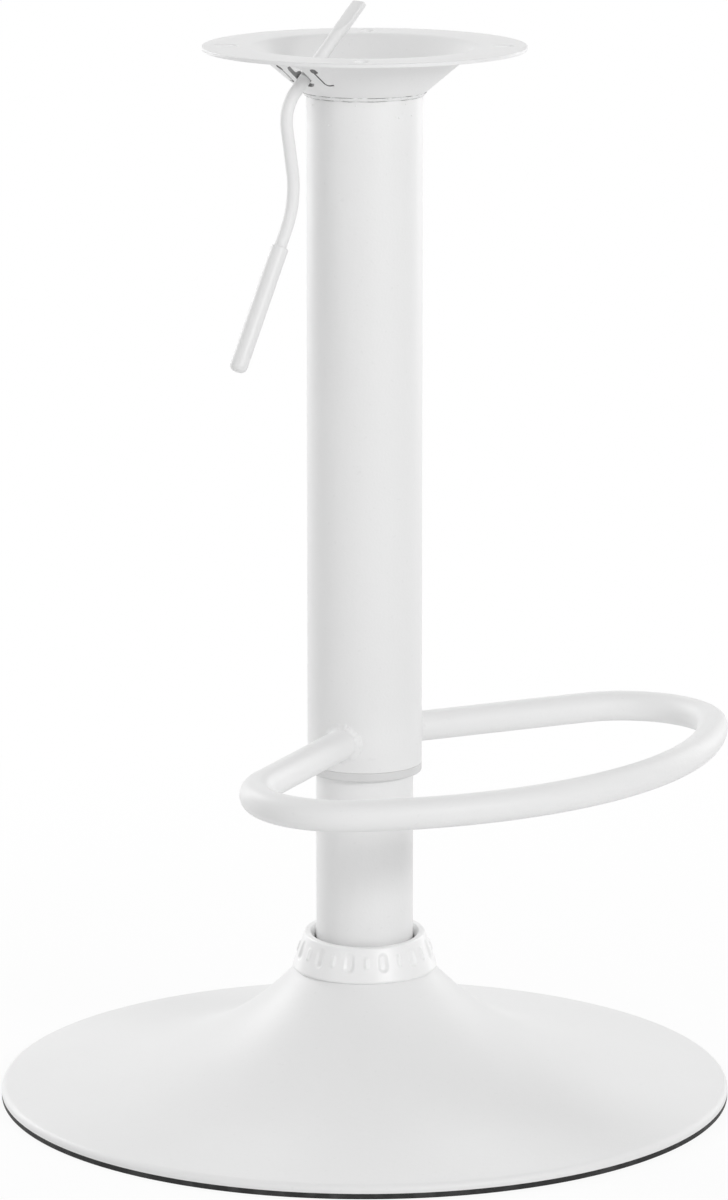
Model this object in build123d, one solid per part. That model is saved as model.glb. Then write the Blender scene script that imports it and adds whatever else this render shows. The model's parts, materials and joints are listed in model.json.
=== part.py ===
from build123d import *

import os
from math import atan2, cos, degrees, radians, sin, sqrt

# Bar stool base in its lowest position, in millimetres. The origin is on the floor at the
# middle of the foot, +Z is up, and the four seat-screw slots lie on the X and Y axes.

# Fits: seated pieces, running pieces, and the play left at a stop.
FIT = 0.02
RUNNING = 0.05
STOP_PLAY = 0.3

# Trumpet foot: a pressed shell on a rubber rim ring, with a ribbed socket for the stand tube.
BASE_D = 385.0
SHELL_T = 1.5
RIM_LIP = 1.0
RIM_BEND = 3.5
DISH_SLOPE = 7.0
FLARE_START_R = 142.0
NECK_TOP = 77.3
RING_FOOT = 3.0
RING_WIDTH = 6.0
RING_GAP = 0.5
SOCKET_WALL = 3.5
SOCKET_LOW = 8.0
SOCKET_PROUD = 2.0
RIB_COUNT = 4
RIB_T = 3.0
RIB_LOW = 12.0
RIB_REACH = 110.0

# Fluted collar that hides the joint of foot and stand tube.
COLLAR_LOW_R = 38.0
COLLAR_TOP_R = 31.6
COLLAR_BORE_R = 27.2
COLLAR_TOP = 86.6
COLLAR_WALL = 2.4
COLLAR_SKIRT = 2.5
COLLAR_LIP = 4.6
COLLAR_EDGE = 1.2
COLLAR_MOUTH = 2.0
FLUTE_COUNT = 12
FLUTE_W = 6.0
FLUTE_H = 11.0
FLUTE_DEPTH = 0.8
FLUTE_DOWN = 8.0
FLUTE_TURN = 2.5
BAR_W = 2.2
BAR_H = 6.4
BAR_PROUD = 0.7

# Stand tube with its end plate and guide bush.
STAND_OD = 51.0
STAND_WALL = 1.5
STAND_LOW = 10.0
STAND_RESERVE = 15.0
END_PLATE_T = 4.0
GUIDE_LENGTH = 70.0
GUIDE_FLANGE = 3.0

# Thrust bearing, piston rod and the clip under the end plate.
ROD_D = 10.0
JOURNAL_D = 8.0
JOURNAL_PLAY = 0.4
RACE_D = 30.0
RACE_T = 2.0
BALL_D = 4.0
BALL_COUNT = 9
BALL_CIRCLE_D = 20.0
CAGE_D = 27.0
CAGE_BORE_D = 12.0
CAGE_T = 1.2
WASHER_D = 18.0
WASHER_T = 1.8
CLIP_D = 14.0
CLIP_T = 1.4
CLIP_GAP = 5.0
GROOVE_DEPTH = 1.0
ROD_TAIL = 1.6
BUMP_D = 26.0
BUMP_HEIGHT = 26.0

# Gas cylinder, its inner pieces and the release valve.
STROKE = 210.0
CYLINDER_D = 28.0
CYLINDER_WALL = 1.5
CYLINDER_LIP = 4.0
ROD_GUIDE_H = 18.0
ROD_SEAL_H = 6.0
PISTON_H = 16.0
PISTON_OVERRUN = 6.0
PISTON_SEAL = 3.0
TAPER_LENGTH = 50.0
TAPER_DROP = 1.25
TAPER_HEADROOM = 33.0
CYLINDER_PROUD = 2.0
VALVE_BODY_H = 33.0
VALVE_FLOOR = 6.0
BUTTON_D = 8.0
BUTTON_PROUD = 13.0
BUTTON_STEM = 18.0
BUTTON_EDGE = 1.5

# Column: the outer tube that rises with the seat, and its lower bush.
COLUMN_OD = 60.0
COLUMN_WALL = 1.5
COLUMN_LOW = 179.7
BUSH_FLANGE = 4.7
BUSH_SLEEVE = 40.3
BUSH_EDGE = 1.2
BEAD_D = 3.4

# Funnel seat plate with its screw slots and the two lanced straps that hold the lever pin.
PLATE_D = 167.0
PLATE_T = 2.0
PLATE_BEND = 7.0
CONE_SLOPE = 40.0
SEAT_RISE = 25.0
SLOT_COUNT = 4
SLOT_W = 7.0
SLOT_L = 12.0
SLOT_INSET = 12.5
STRAP_W = 8.0
STRAP_ROOT = 1.5
STRAP_RISE = 1.8
STRAP_RAMP = 2.6
STRAP_SINK = 0.5
KNUCKLE_WALL = 1.2
LANCE_UP = 3.3
WINDOW_L = 12.4
ROD_HOLE_L = 17.8
SLIT_W = 1.0
RELIEF_D = 4.4
TAIL_L = 4.2

# Release lever: a bent rod with a flattened tip, a cross pin and a grip sleeve.
LEVER_AZIMUTH = -135.0
PIVOT_UP_CONE = 16.3
PIVOT_IN = 1.0
PIN_D = 3.0
PIN_SET_IN = 0.5
LEVER_D = 6.5
LEVER_SIDE_PLAY = 0.75
LEVER_INNER = 51.5
LEVER_RISE = 43.0
LEVER_SHOULDER = 21.0
LEVER_DROP = 48.6
LEVER_LEAN = 9.6
LEVER_TAIL = 93.4
LEVER_KICK = 26.5
SHOULDER_BEND = 20.0
ELBOW_BEND = 48.0
FLAT_W = 9.0
FLAT_T = 3.6
FLAT_L = 14.0
FLAT_RUNOUT = 9.0
FLAT_EDGE = 1.5
GRIP_D = 9.2
GRIP_L = 67.9
GRIP_END = 3.0
GRIP_ROUND = 3.4
GRIP_EDGE = 0.8

# Footrest: one bent tube with radial legs and a wide front arc.
FOOTREST_AZIMUTH = -42.5
FOOTREST_RISE = 15.5
FOOTREST_D = 16.0
FOOTREST_WALL = 1.5
FOOTREST_R = 213.0
FOOTREST_SET_BACK = 40.0
FOOTREST_BEND = 46.0
FOOTREST_SPREAD = 69.6
FILLET_WELD = 3.0
FILLET_TOE = 0.4

# Radii and heights that follow from the sizes above.
BASE_R = BASE_D / 2
STAND_R = STAND_OD / 2
STAND_BORE_R = STAND_R - STAND_WALL
SOCKET_BORE_R = STAND_R + FIT
SOCKET_R = SOCKET_BORE_R + SOCKET_WALL
COLUMN_R = COLUMN_OD / 2
COLUMN_BORE_R = COLUMN_R - COLUMN_WALL
CYLINDER_R = CYLINDER_D / 2
CYLINDER_BORE_R = CYLINDER_R - CYLINDER_WALL
ROD_R = ROD_D / 2
JOURNAL_R = JOURNAL_D / 2
JOURNAL_HOLE_R = JOURNAL_R + JOURNAL_PLAY
RACE_R = RACE_D / 2
PIN_R = PIN_D / 2
LEVER_R = LEVER_D / 2
FOOTREST_TUBE_R = FOOTREST_D / 2
END_PLATE_TOP = STAND_LOW + END_PLATE_T
BALL_LOW = END_PLATE_TOP + RACE_T
BALL_HIGH = BALL_LOW + BALL_D
ROD_SHOULDER = BALL_HIGH + RACE_T
WASHER_LOW = STAND_LOW - RUNNING - WASHER_T
CLIP_LOW = WASHER_LOW - CLIP_T
CYLINDER_LOW = ROD_SHOULDER + BUMP_HEIGHT + STOP_PLAY
ROD_GUIDE_LOW = CYLINDER_LOW + CYLINDER_WALL
ROD_SEAL_LOW = ROD_GUIDE_LOW + ROD_GUIDE_H
PISTON_LOW = ROD_SEAL_LOW + ROD_SEAL_H + STROKE + PISTON_OVERRUN
PISTON_TOP = PISTON_LOW + PISTON_H
STAND_TOP = COLUMN_LOW + BUSH_SLEEVE + STROKE + STAND_RESERVE
TAPER_LOW = STAND_TOP + GUIDE_FLANGE + TAPER_HEADROOM
COLUMN_TOP = TAPER_LOW + TAPER_LENGTH
CYLINDER_TOP = COLUMN_TOP + CYLINDER_PROUD
BUTTON_TOP = CYLINDER_TOP + BUTTON_PROUD
SEAT_Z = COLUMN_TOP + SEAT_RISE
SLOT_CIRCLE_R = PLATE_D / 2 - SLOT_INSET
FOOTREST_Z = COLUMN_LOW + FOOTREST_RISE


def ring(outer, inner, low, high):
    """A plain washer or tube about the Z axis."""
    return Pos(0, 0, low) * extrude(Circle(outer) - Circle(inner), high - low)


def disc(radius, low, high):
    """A plain round bar about the Z axis."""
    return Pos(0, 0, low) * extrude(Circle(radius), high - low)


def turned(outline):
    """A closed (radius, height) outline, turned about the Z axis."""
    return revolve(Plane.XZ * make_face(outline), Axis.Z)


def turned_sheet(path, thickness):
    """Sheet of even thickness along a (radius, height) path, turned about the Z axis."""
    return revolve(Plane.XZ * trace(path, thickness), Axis.Z)


def radial_plane(azimuth):
    """The upright plane at an azimuth: its x is the radius and its y the height."""
    turn = radians(azimuth)
    return Plane((0, 0, 0), x_dir=(cos(turn), sin(turn), 0), z_dir=(sin(turn), -cos(turn), 0))


def around(count, piece, start=0.0):
    """Copies of a piece at even steps about the Z axis."""
    return [Rot(0, 0, start + 360 * k / count) * piece for k in range(count)]


def toward(angle):
    """The unit vector at an angle from the x axis of a plane."""
    return Vector(cos(radians(angle)), sin(radians(angle)))


# Foot
def shell_path():
    """Middle line of the foot's sheet: rim lip, rolled rim, dish and flare."""
    bend = RIM_BEND - SHELL_T / 2
    lip_r = BASE_R - SHELL_T / 2
    lip_top = RING_FOOT + RIM_LIP
    inward = toward(180 - DISH_SLOPE)
    dish_edge = Vector(lip_r - bend, lip_top) + toward(90 - DISH_SLOPE) * bend
    dish_inner = dish_edge + inward * ((FLARE_START_R - dish_edge.X) / inward.X)
    lip = Line((lip_r, RING_FOOT), (lip_r, lip_top))
    rim = TangentArc((lip_r, lip_top), dish_edge, tangent=(0, 1))
    dish = Line(dish_edge, dish_inner)
    flare = TangentArc(dish_inner, (SOCKET_R - SHELL_T, NECK_TOP + SHELL_T), tangent=inward)
    return [lip, rim, dish, flare]


FLARE = shell_path()[-1]


def flare_height(radius, offset=0.0):
    """Height of the flare at a radius, on a face that lies an offset above its middle line."""
    centre = FLARE.arc_center
    return centre.Y - sqrt((FLARE.radius - offset) ** 2 - (centre.X - radius) ** 2)


def make_base_shell():
    """Pressed trumpet foot with a hole at its neck for the socket."""
    sheet = turned_sheet(Curve() + shell_path(), SHELL_T)
    return sheet - disc(SOCKET_R, 0, 2 * NECK_TOP)


def make_rim_ring():
    """Rubber ring that the rim lip stands on, with an upstand inside the rolled rim."""
    inner = BASE_R - RING_WIDTH
    upstand_top = RING_FOOT + RIM_LIP + RIM_BEND - SHELL_T - RING_GAP
    foot = ring(BASE_R - RUNNING, inner, 0, RING_FOOT)
    return foot + ring(BASE_R - RIM_BEND, inner, RING_FOOT, upstand_top)


def make_hub_socket():
    """Welded socket that the stand tube is seated in."""
    return ring(SOCKET_R, SOCKET_BORE_R, SOCKET_LOW, NECK_TOP + SOCKET_PROUD)


def make_brace_rib(shell, azimuth):
    """Flat rib from the socket to the underside of the flare."""
    radii = (SOCKET_BORE_R, (SOCKET_BORE_R + RIB_REACH) / 2, RIB_REACH)
    top = [Vector(r, flare_height(r)) for r in radii]
    sides = Polyline(top[2], (RIB_REACH, RIB_LOW), (SOCKET_BORE_R, RIB_LOW), top[0])
    outline = make_face(Curve() + [ThreePointArc(*top), sides])
    plate = extrude(radial_plane(azimuth) * outline, RIB_T / 2, both=True)
    return plate - shell - disc(SOCKET_R, 0, 2 * NECK_TOP)


def collar_body(shell):
    """Plain collar: a leaning wall with a lip at the top and a skirt seated on the flare."""
    seat_in = COLLAR_LOW_R - COLLAR_WALL
    skirt_top = flare_height(COLLAR_LOW_R, SHELL_T / 2) + COLLAR_SKIRT
    lip_low = COLLAR_TOP - COLLAR_LIP
    section = make_face(
        Polyline(
            (COLLAR_LOW_R, flare_height(COLLAR_LOW_R)),
            (COLLAR_LOW_R, skirt_top),
            (COLLAR_TOP_R, COLLAR_TOP),
            (COLLAR_BORE_R, COLLAR_TOP),
            (COLLAR_BORE_R, lip_low),
            (COLLAR_TOP_R - COLLAR_WALL / 2, lip_low),
            (seat_in, skirt_top),
            (seat_in, flare_height(seat_in)),
            close=True,
        )
    )
    mouth, rim = section.vertices().filter_by(lambda v: abs(v.Y - COLLAR_TOP) < FIT).sort_by(Axis.X)
    skirt = [v for v in section.vertices() if v.X > seat_in + FIT and abs(v.Y - skirt_top) < FIT]
    section = fillet([rim] + skirt, COLLAR_EDGE)
    section = fillet(section.vertices().sort_by_distance(mouth)[0], COLLAR_MOUTH)
    return revolve(Plane.XZ * section, Axis.Z) - shell


def collar_face():
    """Plane on the collar's leaning wall at azimuth 0: x runs round it, y up it, z out of it."""
    skirt_top = flare_height(COLLAR_LOW_R, SHELL_T / 2) + COLLAR_SKIRT
    rise = Vector(COLLAR_TOP_R - COLLAR_LOW_R, 0, COLLAR_TOP - skirt_top).normalized()
    centre = Vector(COLLAR_TOP_R, 0, COLLAR_TOP) - rise * FLUTE_DOWN
    return Plane(centre, x_dir=(0, 1, 0), z_dir=Vector(0, 1, 0).cross(rise))


def make_collar_ring(shell):
    """Collar with rounded flutes and short bars taking turns round its wall."""
    face = collar_face()
    flute = face * Pos(0, 0, -FLUTE_DEPTH) * extrude(SlotOverall(FLUTE_H, FLUTE_W, 90), FLUTE_W)
    bar = face * Pos(0, 0, -COLLAR_WALL / 2) * extrude(
        SlotOverall(BAR_H, BAR_W, 90), COLLAR_WALL / 2 + BAR_PROUD
    )
    step = 180 / FLUTE_COUNT
    collar = collar_body(shell) - around(FLUTE_COUNT, flute, FLUTE_TURN + step)
    return collar + around(FLUTE_COUNT, bar, FLUTE_TURN)


# Stand tube and bearing
def make_stand_tube():
    """Fixed tube that the column slides on."""
    return ring(STAND_R, STAND_BORE_R, STAND_LOW, STAND_TOP)


def make_end_plate():
    """Plate across the foot of the stand tube that carries the bearing."""
    return ring(STAND_BORE_R - FIT, JOURNAL_HOLE_R, STAND_LOW, END_PLATE_TOP)


def make_guide_bush():
    """Plastic bush in the top of the stand tube that guides the gas cylinder."""
    bore = CYLINDER_R + RUNNING
    sleeve = ring(STAND_BORE_R - FIT, bore, STAND_TOP - GUIDE_LENGTH, STAND_TOP)
    return sleeve + ring(STAND_R, bore, STAND_TOP, STAND_TOP + GUIDE_FLANGE)


def make_thrust_balls():
    """Balls of the thrust bearing."""
    middle = (BALL_LOW + BALL_HIGH) / 2
    ball = Pos(BALL_CIRCLE_D / 2, 0, middle) * Sphere(BALL_D / 2 - RUNNING)
    return Compound([copy.solid() for copy in around(BALL_COUNT, ball)])


def make_thrust_cage():
    """Flat cage that keeps the balls apart."""
    middle = (BALL_LOW + BALL_HIGH) / 2
    pocket = Pos(BALL_CIRCLE_D / 2, 0, middle) * Cylinder(BALL_D / 2 + RUNNING, 2 * CAGE_T)
    plate = ring(CAGE_D / 2, CAGE_BORE_D / 2, middle - CAGE_T / 2, middle + CAGE_T / 2)
    return plate - around(BALL_COUNT, pocket)


# Piston rod
def make_piston_rod():
    """Rod with a journal through the bearing, a clip groove and a spigot for the piston."""
    tail = CLIP_LOW - ROD_TAIL
    rod = disc(JOURNAL_R, tail, ROD_SHOULDER) + disc(ROD_R, ROD_SHOULDER, PISTON_LOW)
    rod += disc(JOURNAL_R, PISTON_LOW, PISTON_TOP)
    return rod - ring(ROD_R, JOURNAL_R - GROOVE_DEPTH, CLIP_LOW, WASHER_LOW)


def make_rod_clip():
    """Open spring clip in the groove of the rod."""
    groove_r = JOURNAL_R - GROOVE_DEPTH + FIT
    clip = ring(CLIP_D / 2, groove_r, CLIP_LOW + FIT, WASHER_LOW)
    return clip - Pos(CLIP_D / 2, 0, CLIP_LOW) * Box(CLIP_D, CLIP_GAP, 3 * CLIP_T)


def make_piston():
    """Piston on the end of the rod, grooved for its seal."""
    body = ring(CYLINDER_BORE_R - RUNNING, JOURNAL_R + FIT, PISTON_LOW, PISTON_TOP)
    return body - piston_seal_space(FIT)


def piston_seal_space(room):
    """Square-section ring round the middle of the piston, with room all round it."""
    middle = (PISTON_LOW + PISTON_TOP) / 2
    half = PISTON_SEAL / 2 + room
    inner = CYLINDER_BORE_R - RUNNING - PISTON_SEAL - room
    return ring(CYLINDER_BORE_R - RUNNING, inner, middle - half, middle + half)


# Gas cylinder and valve
def taper_radius(height):
    """Outer radius of the cylinder on its tapered top."""
    return CYLINDER_R - TAPER_DROP * (height - TAPER_LOW) / TAPER_LENGTH


def make_gas_cylinder():
    """Cylinder with a rolled-in lip at the rod end and a tapered top."""
    top_r = taper_radius(CYLINDER_TOP)
    return turned(
        Polyline(
            (CYLINDER_R, CYLINDER_LOW),
            (CYLINDER_R, TAPER_LOW),
            (top_r, CYLINDER_TOP),
            (top_r - CYLINDER_WALL, CYLINDER_TOP),
            (CYLINDER_BORE_R, TAPER_LOW),
            (CYLINDER_BORE_R, ROD_GUIDE_LOW),
            (CYLINDER_R - CYLINDER_LIP, ROD_GUIDE_LOW),
            (CYLINDER_R - CYLINDER_LIP, CYLINDER_LOW),
            close=True,
        )
    )


def make_valve_body():
    """Plug in the top of the cylinder, bored for the valve button."""
    low = CYLINDER_TOP - VALVE_BODY_H
    inset = CYLINDER_WALL + FIT
    plug = turned(
        Polyline(
            (0, low),
            (taper_radius(low) - inset, low),
            (taper_radius(CYLINDER_TOP) - inset, CYLINDER_TOP),
            (0, CYLINDER_TOP),
            close=True,
        )
    )
    return plug - disc(BUTTON_D / 2 + RUNNING, low + VALVE_FLOOR, CYLINDER_TOP)


def make_valve_button():
    """Push button of the valve, with a rounded head."""
    button = disc(BUTTON_D / 2, CYLINDER_TOP - BUTTON_STEM, BUTTON_TOP)
    return fillet(button.edges().sort_by(Axis.Z)[-1], BUTTON_EDGE)


# Column
def make_taper_socket():
    """Block in the top of the column with the taper that the cylinder is pushed into."""
    block = disc(COLUMN_BORE_R - FIT, TAPER_LOW, COLUMN_TOP)
    bore = turned(
        Polyline(
            (0, TAPER_LOW),
            (taper_radius(TAPER_LOW) + FIT, TAPER_LOW),
            (taper_radius(COLUMN_TOP) + FIT, COLUMN_TOP),
            (0, COLUMN_TOP),
            close=True,
        )
    )
    return block - bore


def make_upper_tube():
    """Outer tube of the column."""
    return ring(COLUMN_R, COLUMN_BORE_R, COLUMN_LOW, COLUMN_TOP)


def make_sleeve_bush():
    """Plastic bush in the foot of the column, with a flange that shows below it."""
    bore = STAND_R + RUNNING
    flange = ring(COLUMN_R, bore, COLUMN_LOW - BUSH_FLANGE, COLUMN_LOW)
    rim = flange.edges().group_by(Axis.Z)[0].sort_by(SortBy.RADIUS)[-1]
    sleeve = ring(COLUMN_BORE_R - FIT, bore, COLUMN_LOW, COLUMN_LOW + BUSH_SLEEVE)
    return fillet(rim, BUSH_EDGE) + sleeve


# Seat plate
def cone_point(along):
    """Point on the middle line of the cone, at a distance up it from the column's top edge."""
    foot = Vector(COLUMN_R, COLUMN_TOP) + toward(CONE_SLOPE + 90) * (PLATE_T / 2)
    return foot + toward(CONE_SLOPE) * along


def funnel():
    """Turned sheet of the seat plate: cone, bend and flange."""
    flange_z = SEAT_Z - PLATE_T / 2
    cone_length = (flange_z - cone_point(0).Y) / sin(radians(CONE_SLOPE))
    start = cone_point(-2 * PLATE_T)
    path = FilletPolyline(start, cone_point(cone_length), (PLATE_D / 2, flange_z), radius=PLATE_BEND)
    return turned_sheet(path, PLATE_T) - disc(PLATE_D, COLUMN_TOP - PLATE_D, COLUMN_TOP)


def lance_frame():
    """Frame at the lever in the cone wall: x up the cone, y round it, z out of the wall."""
    turn = radians(LEVER_AZIMUTH)
    middle = cone_point(PIVOT_UP_CONE)
    outward = Vector(cos(turn), sin(turn), 0)
    upward = outward * toward(CONE_SLOPE).X + Vector(0, 0, toward(CONE_SLOPE).Y)
    normal = outward * toward(CONE_SLOPE).Y - Vector(0, 0, toward(CONE_SLOPE).X)
    return Plane(outward * middle.X + Vector(0, 0, middle.Y), x_dir=upward, z_dir=normal)


def strap_section():
    """Section of a lanced strap: pushed out of the cone, with a knuckle round the pin inside."""
    low, high = LANCE_UP - WINDOW_L / 2, LANCE_UP + WINDOW_L / 2
    spine = [
        (low - STRAP_ROOT, -STRAP_SINK),
        (low, -STRAP_SINK),
        (low + STRAP_RAMP, STRAP_RISE),
        (high - STRAP_RAMP, STRAP_RISE),
        (high, -STRAP_SINK),
        (high + STRAP_ROOT, -STRAP_SINK),
    ]
    outer = [(x, y + PLATE_T / 2) for x, y in spine]
    inner = [(x, y - PLATE_T / 2) for x, y in reversed(spine)]
    strap = make_face(Polyline(*outer, *inner, close=True))
    strap += Pos(0, -PIVOT_IN) * Circle(PIN_R + RUNNING + KNUCKLE_WALL)
    return strap - Pos(0, -PIVOT_IN) * Circle(PIN_R + RUNNING)


def make_seat_plate():
    """Funnel plate with radial screw slots and the two straps that hold the lever pin."""
    frame = lance_frame()
    rod_gap = LEVER_D + 2 * LEVER_SIDE_PLAY
    strap_edge = rod_gap / 2 + STRAP_W
    depth = 4 * PLATE_T
    window = Pos(LANCE_UP, 0) * Box(WINDOW_L, 2 * (strap_edge + SLIT_W), depth)
    window += Pos(LANCE_UP, 0) * extrude(SlotOverall(ROD_HOLE_L, rod_gap), depth / 2, both=True)
    straps = extrude(Plane.XZ * strap_section(), strap_edge, both=True)
    straps -= Box(4 * WINDOW_L, rod_gap, 4 * WINDOW_L)
    plate = funnel() - frame * window + frame * straps
    relief = Pos(LANCE_UP + WINDOW_L / 2, SLIT_W / 2) * Cylinder(RELIEF_D / 2, depth)
    relief += Pos(LANCE_UP - WINDOW_L / 2 + SLIT_W / 2, TAIL_L / 2) * Box(SLIT_W, TAIL_L, depth)
    relief = Pos(0, strap_edge) * relief
    plate -= [frame * relief, frame * mirror(relief, Plane.XZ)]
    slot = Pos(SLOT_CIRCLE_R, 0, SEAT_Z) * extrude(SlotOverall(SLOT_L, SLOT_W), depth, both=True)
    return plate - around(SLOT_COUNT, slot)


def make_column_weld(tube, plate):
    """Weld bead in the corner between the column and the cone."""
    bead = Pos(0, 0, COLUMN_TOP) * Torus(COLUMN_R, BEAD_D / 2)
    return bead - tube - plate - disc(COLUMN_BORE_R, COLUMN_TOP - BEAD_D, COLUMN_TOP + BEAD_D)


# Footrest
def footrest_path():
    """Middle line of the footrest about the X axis: leg, bend, front arc, bend and leg."""
    leg, arc_centre = toward(FOOTREST_SPREAD), Vector(-FOOTREST_SET_BACK, 0)
    root = leg * (COLUMN_R - FOOTREST_TUBE_R)
    aside = toward(FOOTREST_SPREAD - 90) * FOOTREST_BEND
    back = (aside - arc_centre).dot(leg)
    reach = (FOOTREST_R - FOOTREST_BEND) ** 2 - (aside - arc_centre).length ** 2
    leg_end = leg * (sqrt(reach + back**2) - back)
    spoke = (leg_end + aside - arc_centre).normalized()
    arc_end = arc_centre + spoke * FOOTREST_R
    onward = toward(degrees(atan2(spoke.Y, spoke.X)) - 90)
    root_2, leg_end_2, arc_end_2 = [Vector(p.X, -p.Y) for p in (root, leg_end, arc_end)]
    return Wire(
        [
            Line(root, leg_end),
            TangentArc(leg_end, arc_end, tangent=leg),
            ThreePointArc(arc_end, (FOOTREST_R - FOOTREST_SET_BACK, 0), arc_end_2),
            TangentArc(arc_end_2, leg_end_2, tangent=(-onward.X, onward.Y)),
            Line(leg_end_2, root_2),
        ]
    )


def make_footrest():
    """Bent tube whose two ends are cut to fit the column."""
    path = Pos(0, 0, FOOTREST_Z) * Rot(0, 0, FOOTREST_AZIMUTH) * footrest_path()
    section = Circle(FOOTREST_TUBE_R) - Circle(FOOTREST_TUBE_R - FOOTREST_WALL)
    tube = sweep(Plane(path @ 0, z_dir=path % 0) * section, path)
    return tube - disc(COLUMN_R, COLUMN_LOW, COLUMN_TOP)


def make_footrest_weld(side):
    """Fillet weld round the root of the footrest leg on one side."""
    turn = radians(FOOTREST_AZIMUTH + side * FOOTREST_SPREAD)
    leg_axis = Plane((0, 0, FOOTREST_Z), z_dir=(cos(turn), sin(turn), 0))
    toe, heel = FOOTREST_TUBE_R + FILLET_TOE, FOOTREST_TUBE_R + 1.5 * FILLET_WELD
    collar = Pos(0, 0, COLUMN_R) * Cone(heel, toe, 2 * FILLET_WELD)
    leg = Pos(0, 0, COLUMN_R) * Cylinder(FOOTREST_TUBE_R, COLUMN_R)
    return leg_axis * (collar - leg) - disc(COLUMN_R, COLUMN_LOW, COLUMN_TOP)


# Lever
def lever_pivot():
    """Place of the lever's pin in the lever's plane."""
    return cone_point(PIVOT_UP_CONE) + toward(CONE_SLOPE + 90) * PIVOT_IN


def lever_corners():
    """Corners of the lever's middle line in its plane: tip, shoulder, elbow and grip end."""
    arm = toward(180 - LEVER_RISE)
    tip = lever_pivot() + arm * LEVER_INNER
    shoulder = lever_pivot() - arm * LEVER_SHOULDER
    elbow = shoulder + toward(-90 - LEVER_LEAN) * LEVER_DROP
    return tip, shoulder, elbow, elbow + toward(LEVER_KICK - 90) * LEVER_TAIL


def make_lever_rod():
    """Bent rod with a flattened tip and a cross hole for its pin."""
    tip, shoulder, elbow, end = lever_corners()
    arm = (shoulder - tip).normalized()
    flat_end = tip + arm * FLAT_L
    rod_start = flat_end + arm * FLAT_RUNOUT
    rod_end = end + (elbow - end).normalized() * (GRIP_END + RUNNING)
    path = FilletPolyline(rod_start, shoulder, elbow, rod_end, radius=[SHOULDER_BEND, ELBOW_BEND])
    blade = RectangleRounded(FLAT_W, FLAT_T, FLAT_EDGE)
    at_tip, at_flat_end, at_rod = [
        Plane(p, x_dir=(0, 0, 1), z_dir=arm) for p in (tip, flat_end, rod_start)
    ]
    rod = sweep(at_rod * Circle(LEVER_R), path)
    rod += loft([(at_flat_end * blade).face(), (at_rod * Circle(LEVER_R)).face()])
    rod += extrude(at_tip * blade, FLAT_L)
    pivot = lever_pivot()
    rod -= Pos(pivot.X, pivot.Y) * Cylinder(PIN_R + FIT, 2 * LEVER_D)
    return radial_plane(LEVER_AZIMUTH) * rod


def make_lever_pin():
    """Cross pin that turns in the straps of the seat plate."""
    pivot = lever_pivot()
    length = LEVER_D + 2 * (LEVER_SIDE_PLAY + STRAP_W - PIN_SET_IN)
    return radial_plane(LEVER_AZIMUTH) * Pos(pivot.X, pivot.Y) * Cylinder(PIN_R, length)


def make_lever_grip():
    """Plastic sleeve with a rounded blind end, pushed on the end of the rod."""
    elbow, end = lever_corners()[2:]
    sleeve = disc(GRIP_D / 2, 0, GRIP_L)
    sleeve = fillet(sleeve.edges().sort_by(Axis.Z)[0], GRIP_ROUND)
    sleeve = fillet(sleeve.edges().sort_by(Axis.Z)[-1], GRIP_EDGE)
    sleeve -= disc(LEVER_R + FIT, GRIP_END, GRIP_L)
    return radial_plane(LEVER_AZIMUTH) * Plane(end, z_dir=elbow - end) * sleeve


# Assembly
def make_nodes():
    """Every piece of the stool base by name."""
    shell, tube, plate = make_base_shell(), make_upper_tube(), make_seat_plate()
    guide_r, guide_bore = CYLINDER_BORE_R - FIT, ROD_R + RUNNING
    nodes = {
        "base_shell": shell,
        "rim_ring": make_rim_ring(),
        "hub_socket": make_hub_socket(),
        "collar_ring": make_collar_ring(shell),
        "stand_tube": make_stand_tube(),
        "end_plate": make_end_plate(),
        "guide_bush": make_guide_bush(),
        "thrust_race_lower": ring(RACE_R, JOURNAL_HOLE_R, END_PLATE_TOP, BALL_LOW),
        "thrust_balls": make_thrust_balls(),
        "thrust_cage": make_thrust_cage(),
        "thrust_race_upper": ring(RACE_R, JOURNAL_R + FIT, BALL_HIGH, ROD_SHOULDER),
        "rod_washer": ring(WASHER_D / 2, JOURNAL_R + FIT, WASHER_LOW, WASHER_LOW + WASHER_T),
        "rod_clip": make_rod_clip(),
        "piston_rod": make_piston_rod(),
        "bump_stop": ring(BUMP_D / 2, ROD_R + FIT, ROD_SHOULDER, ROD_SHOULDER + BUMP_HEIGHT),
        "piston": make_piston(),
        "piston_seal": piston_seal_space(0),
        "gas_cylinder": make_gas_cylinder(),
        "rod_guide": ring(guide_r, guide_bore, ROD_GUIDE_LOW, ROD_SEAL_LOW),
        "rod_seal": ring(guide_r, guide_bore, ROD_SEAL_LOW, ROD_SEAL_LOW + ROD_SEAL_H),
        "valve_body": make_valve_body(),
        "valve_button": make_valve_button(),
        "taper_socket": make_taper_socket(),
        "upper_tube": tube,
        "sleeve_bush": make_sleeve_bush(),
        "seat_plate": plate,
        "column_weld": make_column_weld(tube, plate),
        "footrest": make_footrest(),
        "footrest_weld_right": make_footrest_weld(1),
        "footrest_weld_left": make_footrest_weld(-1),
        "lever_rod": make_lever_rod(),
        "lever_pin": make_lever_pin(),
        "lever_grip": make_lever_grip(),
    }
    for k in range(RIB_COUNT):
        azimuth = 360 * (k + 0.5) / RIB_COUNT
        nodes[f"brace_rib_{k + 1}"] = make_brace_rib(shell, azimuth)
    return nodes


def main():
    """Write every piece to its own STEP file."""
    os.makedirs("parts", exist_ok=True)
    for name, shape in make_nodes().items():
        export_step(shape, os.path.join("parts", name + ".step"))


main()
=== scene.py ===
"""Looks of the bar stool base: fine meshes, finishes, studio and camera.

All sizes are in metres, in the part's frame.
"""

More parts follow.
